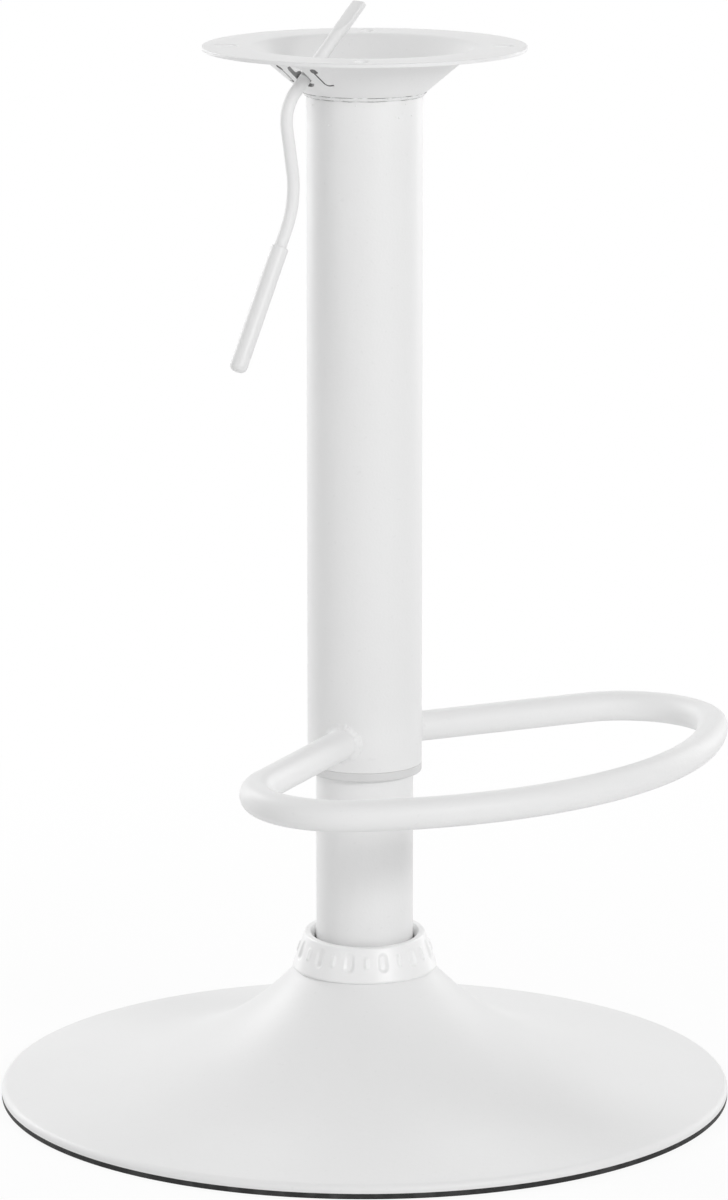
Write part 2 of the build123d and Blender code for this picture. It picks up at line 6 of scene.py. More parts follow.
import json
import logging
from dataclasses import dataclass
from enum import Enum
from functools import cached_property
from math import acos, atan2, copysign, cos, degrees, hypot, pi, radians, sin, sqrt, tan, tau
from random import Random
from typing import Callable, Sequence

import bmesh
import bpy
from mathutils import Matrix, Vector, noise


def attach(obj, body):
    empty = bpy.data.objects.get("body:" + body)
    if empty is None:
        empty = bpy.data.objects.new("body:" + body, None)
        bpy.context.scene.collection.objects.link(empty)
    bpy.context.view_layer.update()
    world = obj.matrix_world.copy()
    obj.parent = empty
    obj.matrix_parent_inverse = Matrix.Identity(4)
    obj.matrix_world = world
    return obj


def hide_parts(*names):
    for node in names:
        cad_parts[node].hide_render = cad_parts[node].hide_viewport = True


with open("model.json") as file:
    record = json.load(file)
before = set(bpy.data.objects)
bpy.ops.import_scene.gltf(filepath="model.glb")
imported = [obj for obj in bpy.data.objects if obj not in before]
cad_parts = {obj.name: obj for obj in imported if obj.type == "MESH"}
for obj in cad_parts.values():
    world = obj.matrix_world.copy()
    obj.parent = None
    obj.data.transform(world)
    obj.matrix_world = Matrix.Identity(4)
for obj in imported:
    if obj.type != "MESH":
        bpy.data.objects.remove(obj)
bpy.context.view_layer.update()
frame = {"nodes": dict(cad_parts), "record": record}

log = logging.getLogger("bar_stool_base")

CUT_WALL = "cut_wall"
SEEN_RAYS = ("Is Camera Ray", "Is Glossy Ray", "Is Transmission Ray")
UP = Vector((0.0, 0.0, 1.0)).freeze()
CLOSE = 1e-6
AXIS_GAP = 0.0001
# Sockets of Blender's Mix node that colours use.
MIX_SHARE, MIX_UNDER, MIX_OVER, MIX_RESULT = 0, 6, 7, 2

Outline = list[tuple[float, float]]
Colour = tuple[float, float, float, float]
Triple = tuple[float, float, float]
Ring = Sequence[Vector]


class Body(Enum):
    """Bodies of the part that pieces ride on."""

    BASE = "base"
    COLUMN = "column"
    LEVER = "lever"


class Slot(Enum):
    """Material slots of the record."""

    WHITE_COAT = "white_coat"
    WELD_COAT = "weld_coat"
    COLLAR_PLASTIC = "collar_plastic"
    GRIP_PLASTIC = "grip_plastic"
    BUSH_PLASTIC = "bush_plastic"
    RUBBER = "rubber"
    CYLINDER_PAINT = "cylinder_paint"
    BRIGHT_STEEL = "bright_steel"
    PLAIN_STEEL = "plain_steel"
    ALLOY = "alloy"
    CAGE_PLASTIC = "cage_plastic"


class Cut(Enum):
    """Ways in which one solid works on another."""

    REMOVE = "DIFFERENCE"
    ADD = "UNION"


class Crease(Enum):
    """Angles in degrees above which an edge stays sharp."""

    SHEET = 32.0
    TURNED = 38.0
    ROD = 50.0
    WELD = 60.0
    BEAD = 70.0


def grey(level: float) -> Colour:
    """Neutral colour of one level."""
    return (level, level, level, 1.0)


def toward(angle: float) -> Vector:
    """Unit vector in a plane at an angle in degrees from its x axis."""
    return Vector((cos(radians(angle)), sin(radians(angle))))


def turns(count: int) -> list[float]:
    """Angles of even steps round a full turn."""
    return [tau * k / count for k in range(count)]


def smooth_step(share: float) -> float:
    """Smooth rise from 0 to 1 as the share goes from 0 to 1."""
    held = min(max(share, 0.0), 1.0)
    return held * held * (3 - 2 * held)


class Socket:
    """Output of a shader node on which Python's operators add Math nodes."""

    def __init__(self, graph: "Graph", output: bpy.types.NodeSocket | None) -> None:
        """Keep the graph and the output, which an end node doesn't have."""
        self.graph = graph
        self.output = output

    def _math(self, operation: str, *terms: "Socket | float") -> "Socket":
        """Math node of an operation on one or two terms."""
        return self.graph.node("ShaderNodeMath", {"operation": operation}, dict(enumerate(terms)))

    def __add__(self, other: "Socket | float") -> "Socket":
        """Sum of the two."""
        return self._math("ADD", self, other)

    def __radd__(self, other: float) -> "Socket":
        """Sum of the two."""
        return self._math("ADD", other, self)

    def __sub__(self, other: "Socket | float") -> "Socket":
        """This less the other."""
        return self._math("SUBTRACT", self, other)

    def __rsub__(self, other: float) -> "Socket":
        """The other less this."""
        return self._math("SUBTRACT", other, self)

    def __mul__(self, other: "Socket | float") -> "Socket":
        """Product of the two."""
        return self._math("MULTIPLY", self, other)

    def __rmul__(self, other: float) -> "Socket":
        """Product of the two."""
        return self._math("MULTIPLY", other, self)

    def __abs__(self) -> "Socket":
        """Size of this without its sign."""
        return self._math("ABSOLUTE", self)

    def clamped(self) -> "Socket":
        """This, held between 0 and 1."""
        return self.graph.node("ShaderNodeClamp", {}, {"Value": self})

    def swing(self, size: float) -> "Socket":
        """This about its middle of a half, times a size."""
        return (self - 0.5) * size

    def above(self, level: float, gain: float) -> "Socket":
        """How far this is above a level, times a gain, held between 0 and 1."""
        return ((self - level) * gain).clamped()

    def within(self, half: float, fade: float) -> "Socket":
        """1 where this is nearer to zero than a half width, with a fade at the edge."""
        return ((half - abs(self)) * (1.0 / fade)).clamped()


class Graph:
    """Node tree of a material or of the world."""

    def __init__(self, tree: bpy.types.NodeTree) -> None:
        """Start with an empty tree."""
        tree.nodes.clear()
        self.tree = tree

    def node(
        self,
        kind: str,
        settings: dict[str, object] | None = None,
        sockets: dict[str | int, object] | None = None,
        output: str | int = 0,
    ) -> Socket:
        """Add a node.

        Args:
            kind: Blender's name for the node's type.
            settings: Properties that are set first.
            sockets: Values, or sockets to link, by input name or number.
            output: The output that is returned.

        Returns:
            The chosen output.
        """
        made = self.tree.nodes.new(kind)
        for key, value in (settings or {}).items():
            setattr(made, key, value)
        for key, value in (sockets or {}).items():
            if isinstance(value, Socket):
                self.tree.links.new(value.output, made.inputs[key])
            else:
                made.inputs[key].default_value = value
        return Socket(self, made.outputs[output] if made.outputs else None)

    def place(self) -> Socket:
        """Position on the piece, in the part's frame."""
        return self.node("ShaderNodeTexCoord", output="Object")

    def vector(self, operation: str, *terms: object, output: str = "Vector") -> Socket:
        """Vector Math node of an operation on one or two terms."""
        settings, sockets = {"operation": operation}, dict(enumerate(terms))
        return self.node("ShaderNodeVectorMath", settings, sockets, output)

    def noise(self, place: Socket, waves: float, detail: float) -> Socket:
        """Noise with a number of waves to the metre."""
        sockets = {"Vector": place, "Scale": waves, "Detail": detail}
        return self.node("ShaderNodeTexNoise", {}, sockets)

    def streaks(self, place: Socket, waves: Triple, detail: float) -> Socket:
        """Noise with a number of waves to the metre along each axis."""
        return self.noise(self.vector("MULTIPLY", place, waves), 1.0, detail)

    def along(self, place: Socket, axis: Vector, start: Vector) -> Socket:
        """Distance of a position along an axis from its start."""
        return self.vector("DOT_PRODUCT", place, axis, output="Value") - axis.dot(start)

    def blend(self, share: Socket, under: "Socket | Colour", over: "Socket | Colour") -> Socket:
        """Colour that goes from one to another with a share."""
        sockets = {MIX_SHARE: share, MIX_UNDER: under, MIX_OVER: over}
        return self.node("ShaderNodeMix", {"data_type": "RGBA"}, sockets, MIX_RESULT)

    def bump(self, height: Socket, distance: float) -> Socket:
        """Normal of a surface whose height goes up to a distance."""
        sockets = {"Strength": 1.0, "Distance": distance, "Height": height}
        return self.node("ShaderNodeBump", {}, sockets)

    def surface(self, sockets: dict[str, object]) -> Socket:
        """Principled shader with these values and links."""
        return self.node("ShaderNodeBsdfPrincipled", {}, sockets)


@dataclass(frozen=True)
class Finish:
    """A finish with its name, record slot and colour."""

    name: str
    slot: Slot | None
    colour: Colour

    def material(self) -> bpy.types.Material:
        """The finish's material, made at its first use.

        Returns:
            The material.
        """
        found = bpy.data.materials.get(self.name)
        if found is not None:
            return found
        made = bpy.data.materials.new(self.name)
        made.use_nodes = True
        graph = Graph(made.node_tree)
        graph.node("ShaderNodeOutputMaterial", {}, {"Surface": self.shade(graph)})
        return made

    def shade(self, graph: Graph) -> Socket:
        """Shader of the finish in a graph."""
        raise NotImplementedError

    def marked(self, graph: Graph, place: Socket, colour: Socket) -> Socket:
        """Colour of the finish with the marks that a piece adds, here none."""
        return colour


@dataclass(frozen=True)
class PowderCoat(Finish):
    """Baked powder paint: a fine grit over a slow ripple, with faint specks."""

    roughness: float = 0.46
    gloss: float = 0.3
    ripple: float = 0.00006
    ripple_waves: float = 260.0
    grit: float = 0.00005
    grit_waves: float = 850.0
    grit_sheen: float = 0.16
    cloud: float = 0.35
    cloud_waves: float = 14.0
    cloud_level: float = 0.3111
    cloud_gain: float = 0.9
    cloud_sheen: float = 0.08
    speck: float = 0.07
    speck_waves: float = 520.0
    speck_level: float = 0.76
    speck_gain: float = 12.0
    shade_colour: Colour = grey(0.74)
    speck_colour: Colour = grey(0.5)

    def shade(self, graph: Graph) -> Socket:
        """Shader of the paint.

        Args:
            graph: Tree that gets the nodes.

        Returns:
            The shader's output.
        """
        place = graph.place()
        grit = graph.noise(place, self.grit_waves, detail=2.0)
        ripple = graph.noise(place, self.ripple_waves, detail=1.0)
        cloud = graph.noise(place, self.cloud_waves, detail=3.0)
        specks = graph.noise(place, self.speck_waves, detail=0.0)
        clouded = cloud.above(self.cloud_level, self.cloud_gain) * self.cloud
        specked = specks.above(self.speck_level, self.speck_gain) * self.speck
        colour = graph.blend(clouded, self.colour, self.shade_colour)
        colour = graph.blend(specked, colour, self.speck_colour)
        sheen = grit.swing(self.grit_sheen) + cloud.swing(self.cloud_sheen)
        depth = self.ripple + self.grit
        height = ripple * (self.ripple / depth) + grit * (self.grit / depth)
        return graph.surface(
            {
                "Base Color": self.marked(graph, place, colour),
                "Roughness": self.roughness + sheen,
                "Specular IOR Level": self.gloss,
                "Normal": graph.bump(height, depth),
            }
        )


@dataclass(frozen=True)
class CutSheetCoat(PowderCoat):
    """The paint on the funnel, darkened on the walls of the narrow cuts as painted shade."""

    # Painted shade: this dark grey on the cut walls stands in for the shade inside the narrow cuts.
    cut_shade_colour: Colour = grey(0.3)

    def marked(self, graph: Graph, place: Socket, colour: Socket) -> Socket:
        """Colour of the paint with painted shade on the walls of the cuts."""
        shaded_wall = graph.node("ShaderNodeAttribute", {"attribute_name": CUT_WALL}, output="Fac")
        return graph.blend(shaded_wall, colour, self.cut_shade_colour)


@dataclass(frozen=True)
class HoleShadedCoat(PowderCoat):
    """The paint on the lever, darkened as painted shade in a band where the rod passes through its
    hole in the funnel.
    """

    middle: Triple = (0.0, 0.0, 0.0)
    axis: Triple = (0.0, 0.0, 1.0)
    half: float = 0.003
    fade: float = 0.0008
    # Painted shade: this dark grey band stands in for the shade on the rod inside the hole.
    cut_shade_colour: Colour = grey(0.32)

    def marked(self, graph: Graph, place: Socket, colour: Socket) -> Socket:
        """Colour of the paint with the band of painted shade."""
        away = graph.along(place, Vector(self.axis), Vector(self.middle))
        return graph.blend(away.within(self.half, self.fade), colour, self.cut_shade_colour)


@dataclass(frozen=True)
class WeldCoat(Finish):
    """The same paint run over a weld: lumpy, with grey lines where it is thin."""

    roughness: float = 0.55
    lump: float = 0.0004
    lump_waves: float = 420.0
    lump_sheen: float = 0.3
    thin: float = 0.5
    thin_waves: float = 640.0
    thin_level: float = 0.56
    thin_gain: float = 5.0
    thin_colour: Colour = grey(0.42)

    def shade(self, graph: Graph) -> Socket:
        """Shader of the painted weld.

        Args:
            graph: Tree that gets the nodes.

        Returns:
            The shader's output.
        """
        place = graph.place()
        lumps = graph.noise(place, self.lump_waves, detail=3.0)
        thin = graph.noise(place, self.thin_waves, detail=2.0)
        thinned = thin.above(self.thin_level, self.thin_gain) * self.thin
        colour = graph.blend(thinned, self.colour, self.thin_colour)
        return graph.surface(
            {
                "Base Color": self.marked(graph, place, colour),
                "Roughness": self.roughness + lumps.swing(self.lump_sheen),
                "Normal": graph.bump(lumps, self.lump),
            }
        )


@dataclass(frozen=True)
class ToedWeldCoat(WeldCoat):
    """The paint on a level bead, with a broken line of painted shade along each toe."""

    toes: tuple[float, ...] = ()
    half: float = 0.0003
    fade: float = 0.0002
    waver_waves: float = 260.0
    broken_waves: float = 170.0
    broken_level: float = 0.38
    broken_gain: float = 6.0
    # Painted shade: dark lines stand in for the shade in the creases where the bead meets the tube
    # and the cone.
    toe_shade_colour: Colour = grey(0.2)

    def marked(self, graph: Graph, place: Socket, colour: Socket) -> Socket:
        """Colour of the paint with the painted shade along the toes.

        Args:
            graph: Tree that gets the nodes.
            place: Position on the bead.
            colour: Colour without the lines.

        Returns:
            The colour with them.
        """
        waver = graph.noise(place, self.waver_waves, detail=1.0).swing(self.half)
        height = graph.along(place, UP, Vector()) + waver
        broken = graph.noise(place, self.broken_waves, detail=2.0)
        broken = broken.above(self.broken_level, self.broken_gain)
        for toe in self.toes:
            line = (height - toe).within(self.half, self.fade)
            colour = graph.blend(line * broken, colour, self.toe_shade_colour)
        return colour


@dataclass(frozen=True)
class MouldedPlastic(Finish):
    """Injection-moulded plastic with a faint flow in its colour and gloss."""

    roughness: float = 0.3
    sink: float = 0.00004
    sink_waves: float = 130.0
    sink_share: float = 0.8
    grain_waves: float = 1500.0
    grain_sheen: float = 0.1
    flow: float = 0.4
    flow_waves: Triple = (60.0, 60.0, 25.0)
    flow_level: float = 0.3125
    flow_gain: float = 1.6
    flow_sheen: float = 0.12
    flow_colour: Colour = grey(0.8)

    def shade(self, graph: Graph) -> Socket:
        """Shader of the plastic.

        Args:
            graph: Tree that gets the nodes.

        Returns:
            The shader's output.
        """
        place = graph.place()
        flow = graph.streaks(place, self.flow_waves, detail=3.0)
        grain = graph.noise(place, self.grain_waves, detail=1.0)
        sink = graph.noise(place, self.sink_waves, detail=1.0)
        streaked = flow.above(self.flow_level, self.flow_gain) * self.flow
        sheen = grain.swing(self.grain_sheen) + flow.swing(self.flow_sheen)
        height = sink * self.sink_share + grain * (1.0 - self.sink_share)
        return graph.surface(
            {
                "Base Color": graph.blend(streaked, self.colour, self.flow_colour),
                "Roughness": self.roughness + sheen,
                "Normal": graph.bump(height, self.sink),
            }
        )


@dataclass(frozen=True)
class Rubber(Finish):
    """Matt rubber with a little dust."""

    roughness: float = 0.7
    gloss: float = 0.3
    grain: float = 0.00008
    grain_waves: float = 1100.0
    grain_sheen: float = 0.25
    dust: float = 0.35
    dust_waves: float = 120.0
    dust_level: float = 0.46
    dust_gain: float = 4.0
    dust_colour: Colour = grey(0.11)

    def shade(self, graph: Graph) -> Socket:
        """Shader of the rubber.

        Args:
            graph: Tree that gets the nodes.

        Returns:
            The shader's output.
        """
        place = graph.place()
        dust = graph.noise(place, self.dust_waves, detail=5.0)
        grain = graph.noise(place, self.grain_waves, detail=2.0)
        dusted = dust.above(self.dust_level, self.dust_gain) * self.dust
        return graph.surface(
            {
                "Base Color": graph.blend(dusted, self.colour, self.dust_colour),
                "Roughness": self.roughness + grain.swing(self.grain_sheen),
                "Specular IOR Level": self.gloss,
                "Normal": graph.bump(grain, self.grain),
            }
        )


@dataclass(frozen=True)
class WorkedMetal(Finish):
    """Bare metal with the fine rings that turning or grinding leaves."""

    roughness: float = 0.32
    rings: float = 0.00003
    ring_waves: float = 2600.0
    ring_drift: float = 40.0
    ring_sheen: float = 0.22
    smear: float = 0.6
    smear_waves: float = 90.0
    smear_level: float = 0.3333
    smear_gain: float = 1.8
    smear_sheen: float = 0.14
    dull_colour: Colour = grey(0.42)

    def shade(self, graph: Graph) -> Socket:
        """Shader of the metal.

        Args:
            graph: Tree that gets the nodes.

        Returns:
            The shader's output.
        """
        place = graph.place()
        waves = (self.ring_drift, self.ring_drift, self.ring_waves)
        rings = graph.streaks(place, waves, detail=3.0)
        smear = graph.noise(place, self.smear_waves, detail=4.0)
        smeared = smear.above(self.smear_level, self.smear_gain) * self.smear
        sheen = rings.swing(self.ring_sheen) + smear.swing(self.smear_sheen)
        return graph.surface(
            {
                "Base Color": graph.blend(smeared, self.colour, self.dull_colour),
                "Metallic": 1.0,
                "Roughness": self.roughness + sheen,
                "Normal": graph.bump(rings, self.rings),
            }
        )


@dataclass(frozen=True)
class FloorPaint(Finish):
    """Pale studio floor that shows as white and keeps some of the shadow close to the stool."""

    glow: float = 0.86
    far: float = 0.8

    def shade(self, graph: Graph) -> Socket:
        """Shader of the floor.

        Args:
            graph: Tree that gets the nodes.

        Returns:
            The shader's output.
        """
        away = graph.vector("LENGTH", graph.place(), output="Value")
        glow = (self.glow + away * ((1.0 - self.glow) / self.far)).clamped()
        matt = graph.node("ShaderNodeBsdfDiffuse", {}, {"Color": self.colour})
        white = graph.node("ShaderNodeEmission", {}, {"Color": grey(1.0), "Strength": 1.0})
        seen = ray_is_seen(graph) * glow
        return graph.node("ShaderNodeMixShader", {}, {0: seen, 1: matt, 2: white})


def ray_is_seen(graph: Graph) -> Socket:
    """1 for rays from the camera, and from gloss or glass, and 0 for the light on the object."""
    camera, gloss, glass = (graph.node("ShaderNodeLightPath", output=ray) for ray in SEEN_RAYS)
    return (camera + gloss + glass).clamped()


WHITE = PowderCoat("satin_white_coat", Slot.WHITE_COAT, grey(0.82))
CUT_SHEET = CutSheetCoat("satin_white_coat_with_cuts", Slot.WHITE_COAT, WHITE.colour)
WELD = WeldCoat("white_coat_on_weld", Slot.WELD_COAT, grey(0.8), lump=0.00018, thin=0.15)
COLLAR = MouldedPlastic("white_collar_plastic", Slot.COLLAR_PLASTIC, grey(0.86), roughness=0.37)
GRIP = MouldedPlastic("white_grip_plastic", Slot.GRIP_PLASTIC, grey(0.78), roughness=0.4)
BUSH = MouldedPlastic(
    "grey_bush_plastic", Slot.BUSH_PLASTIC, grey(0.68), roughness=0.45, flow_colour=grey(0.63)
)
CAGE = MouldedPlastic(
    "nylon_cage",
    Slot.CAGE_PLASTIC,
    (0.75, 0.72, 0.62, 1.0),
    flow_colour=(0.68, 0.64, 0.54, 1.0),
)
RUBBER = Rubber("black_rubber", Slot.RUBBER, grey(0.022))
BLACK = PowderCoat(
    "black_cylinder_paint",
    Slot.CYLINDER_PAINT,
    grey(0.028),
    roughness=0.38,
    shade_colour=grey(0.02),
    speck_colour=grey(0.09),
)
BRIGHT = WorkedMetal("ground_steel", Slot.BRIGHT_STEEL, grey(0.66), roughness=0.24)
PLAIN = WorkedMetal("machined_steel", Slot.PLAIN_STEEL, grey(0.5), ring_waves=900.0)
ALLOY = WorkedMetal("machined_alloy", Slot.ALLOY, (0.72, 0.72, 0.73, 1.0), ring_waves=1400.0)
FINISHES = (WHITE, WELD, COLLAR, GRIP, BUSH, CAGE, RUBBER, BLACK, BRIGHT, PLAIN, ALLOY)


def arc(
    centre: Sequence[float], radius: float, start: float, stop: float, steps: int
) -> Outline:
    """Points along an arc.

    Args:
        centre: Middle of the arc.
        radius: Its radius.
        start: First angle in degrees.
        stop: Last angle in degrees.
        steps: Number of chords.

    Returns:
        The points, both ends included.
    """
    angles = [radians(start + (stop - start) * k / steps) for k in range(steps + 1)]
    return [(centre[0] + radius * cos(a), centre[1] + radius * sin(a)) for a in angles]


def circle(centre: Sequence[float], radius: float) -> Outline:
    """Points round a circle, 10 degrees apart."""
    return arc(centre, radius, 0, 350, 35)


def long_hole(middle: float, half: float, radius: float, steps: int) -> Outline:
    """Outline of a hole with round ends, along the x axis.

    Args:
        middle: Its middle on the axis.
        half: Half the distance between the ends' centres.
        radius: Radius of the ends.
        steps: Number of chords in an end.

    Returns:
        The outline's points.
    """
    first = arc((middle + half, 0), radius, -90, 90, steps)
    return first + arc((middle - half, 0), radius, 90, 270, steps)


def corner_round(radius: float, angles: Sequence[float]) -> Outline:
    """Distances from the two sides of a corner at angles through its round."""
    return [(radius * (1 - cos(t)), radius * (1 - sin(t))) for t in angles]


def rounded(corners: Sequence[Triple], steps: int) -> Outline:
    """Closed outline whose corners are rounded.

    Args:
        corners: Each corner's place and radius.
        steps: Number of chords in a round.

    Returns:
        The outline's points.
    """
    made: Outline = []
    for k, (x, y, radius) in enumerate(corners):
        if radius == 0:
            made.append((x, y))
            continue
        here = Vector((x, y))
        before = (Vector(corners[k - 1][:2]) - here).normalized()
        after = (Vector(corners[(k + 1) % len(corners)][:2]) - here).normalized()
        half = acos(max(-1.0, min(1.0, before.dot(after)))) / 2
        centre = here + (before + after).normalized() * (radius / sin(half))
        first, last = (here + side * (radius / tan(half)) - centre for side in (before, after))
        sweep = first.angle_signed(last)
        spokes = [Matrix.Rotation(-sweep * step / steps, 2) @ first for step in range(steps + 1)]
        made += [tuple(centre + spoke) for spoke in spokes]
    return made


def depth_in_bar(across: float, along: float, width: float, height: float) -> float:
    """Depth of a place inside an upright bar with round ends, negative outside it."""
    beyond = max(abs(along) - (height - width) / 2, 0.0)
    return width / 2 - hypot(across, beyond)


def skin(
    name: str, rings: Sequence[Ring], looped: bool, crease: Crease = Crease.TURNED
) -> bpy.types.Object:
    """Closed surface through rings that have as many points each.

    Args:
        name: Name of the new object.
        rings: The rings in order.
        looped: True joins the last ring to the first, and False closes both ends.
        crease: Which edges stay sharp.

    Returns:
        The new object.
    """
    count = len(rings[0])
    last = (len(rings) - 1) * count
    faces: list[tuple[int, ...]] = []
    for k in range(len(rings) if looped else len(rings) - 1):
        near, far = k * count, (k + 1) % len(rings) * count
        for i in range(count):
            after = (i + 1) % count
            faces.append((near + i, near + after, far + after, far + i))
    if not looped:
        faces += [tuple(reversed(range(count))), tuple(range(last, last + count))]
    mesh = bpy.data.meshes.new(name)
    mesh.from_pydata([point for ring in rings for point in ring], [], faces)
    return settled(bpy.data.objects.new(name, mesh), crease)


def settled(piece: bpy.types.Object, crease: Crease) -> bpy.types.Object:
    """Turn a piece's faces outward, smooth them up to a crease angle and link it.

    Args:
        piece: The piece.
        crease: Which edges stay sharp.

    Returns:
        The same piece.
    """
    shape = bmesh.new()
    shape.from_mesh(piece.data)
    bmesh.ops.recalc_face_normals(shape, faces=shape.faces)
    shape.to_mesh(piece.data)
    shape.free()
    piece.data.shade_smooth()
    piece.data.set_sharp_from_angle(angle=radians(crease.value))
    if piece.name not in bpy.context.scene.collection.objects:
        bpy.context.scene.collection.objects.link(piece)
    return piece


def lathe(
    name: str,
    outline: Outline,
    segments: int,
    looped: bool = True,
    push: Callable[[Vector, float], tuple[float, float]] | None = None,
) -> bpy.types.Object:
    """Outline of radius and height, turned about the Z axis.

    Args:
        name: Name of the new object.
        outline: Points of the outline.
        segments: Number of steps round the axis.
        looped: False for an outline that starts and ends at the axis.
        push: Radius and height to add at an outline point and an angle.

    Returns:
        The new object.
    """
    rings = []
    for radius, height in outline:
        ring = []
        for angle in turns(segments):
            out, up = push(Vector((radius, height)), angle) if push else (0.0, 0.0)
            reach = radius + out
            ring.append(Vector((reach * cos(angle), reach * sin(angle), height + up)))
        rings.append(ring)
    return skin(name, rings, looped)


def work(piece: bpy.types.Object, tool: bpy.types.Object, cut: Cut) -> None:
    """Cut one solid with another, or join them, and delete the tool.

    Args:
        piece: The solid that is kept.
        tool: The solid that works on it.
        cut: What the tool does.
    """
    modifier = piece.modifiers.new("work", "BOOLEAN")
    modifier.object, modifier.operation, modifier.solver = tool, cut.value, "EXACT"
    bpy.context.view_layer.update()
    worked = piece.evaluated_get(bpy.context.evaluated_depsgraph_get())
    done = bpy.data.meshes.new_from_object(worked)
    piece.modifiers.clear()
    piece.data = done
    bpy.data.objects.remove(tool)


@dataclass
class Assembly:
    """A sub-assembly that rides on one body."""

    body: Body

    def fit(self, piece: bpy.types.Object, finish: Finish, *nodes: str) -> None:
        """Dress a piece and make it ride.

        Args:
            piece: The new piece.
            finish: Its finish.
            nodes: Nodes that it stands for.
        """
        piece.data.materials.clear()
        piece.data.materials.append(finish.material())
        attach(piece, self.body.value)
        if nodes:
            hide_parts(*nodes)
        log.info("%s: %d faces in %s", piece.name, len(piece.data.polygons), finish.name)


@dataclass
class Foot(Assembly):
    """Trumpet foot with its rolled rim and rubber ring."""

    rim_r: float = 0.1925
    sheet: float = 0.0015
    lip: float = 0.001
    bend: float = 0.0035
    slope: float = 7.0
    flare_start: float = 0.142
    neck_top: float = 0.0773
    socket_r: float = 0.02902
    ring_height: float = 0.003
    ring_width: float = 0.006
    ring_gap: float = 0.0005
    ring_play: float = 0.00005
    ring_edge: float = 0.0007
    ring_steps: int = 5
    rim_steps: int = 12
    dish_steps: int = 8
    flare_steps: int = 56
    segments: int = 256

    def rim_centre(self) -> Vector:
        """Middle of the rolled rim's bend."""
        return Vector((self.rim_r - self.bend, self.ring_height + self.lip))

    def flare(self) -> tuple[Vector, float]:
        """Arc that the sheet's middle line follows in the flare.

        Returns:
            Its centre and radius.
        """
        inward, upward = toward(180 - self.slope), toward(90 - self.slope)
        edge = self.rim_centre() + upward * (self.bend - self.sheet / 2)
        start = edge + inward * ((self.flare_start - edge.x) / inward.x)
        run = Vector((self.socket_r - self.sheet, self.neck_top + self.sheet)) - start
        radius = run.length_squared / (2 * upward.dot(run))
        return start + upward * radius, radius

    def flare_height(self, radius: float) -> float:
        """Height of the flare's upper face at a radius."""
        centre, bend = self.flare()
        return centre.y - sqrt((bend - self.sheet / 2) ** 2 - (centre.x - radius) ** 2)

    def face(self, offset: float) -> Outline:
        """One face of the sheet from the lip to the neck.

        Args:
            offset: Distance of the face from the middle line, upward.

        Returns:
            The points of the face.
        """
        centre, bend = self.flare()
        rim = self.rim_centre()
        rim_bend = self.bend - self.sheet / 2 + offset
        reach = bend - offset
        stop = -180 + degrees(acos((centre.x - self.socket_r) / reach))
        lip = [(rim.x + rim_bend, self.ring_height)]
        rolled = arc(rim, rim_bend, 0, 90 - self.slope, self.rim_steps)
        curved = arc(centre, reach, -90 - self.slope, stop, self.flare_steps)
        first, last = Vector(rolled[-1]), Vector(curved[0])
        steps = self.dish_steps
        dish = [tuple(first.lerp(last, k / steps)) for k in range(1, steps)]
        return lip + rolled + dish + curved

    def build(self) -> None:
        """Make the shell and its ring."""
        half = self.sheet / 2
        outline = self.face(half) + self.face(-half)[::-1]
        self.fit(lathe("foot_shell", outline, self.segments), WHITE, "base_shell")
        inner, outer = self.rim_r - self.ring_width, self.rim_r - self.ring_play
        step_r = self.rim_r - self.bend
        top = self.ring_height + self.lip + self.bend - self.sheet - self.ring_gap
        corners = [
            (outer, 0, self.ring_edge),
            (outer, self.ring_height, self.ring_edge / 2),
            (step_r, self.ring_height, 0),
            (step_r, top, self.ring_edge),
            (inner, top, self.ring_edge),
            (inner, 0, self.ring_edge),
        ]
        section = rounded(corners, self.ring_steps)
        self.fit(lathe("rubber_ring", section, self.segments), RUBBER, "rim_ring")


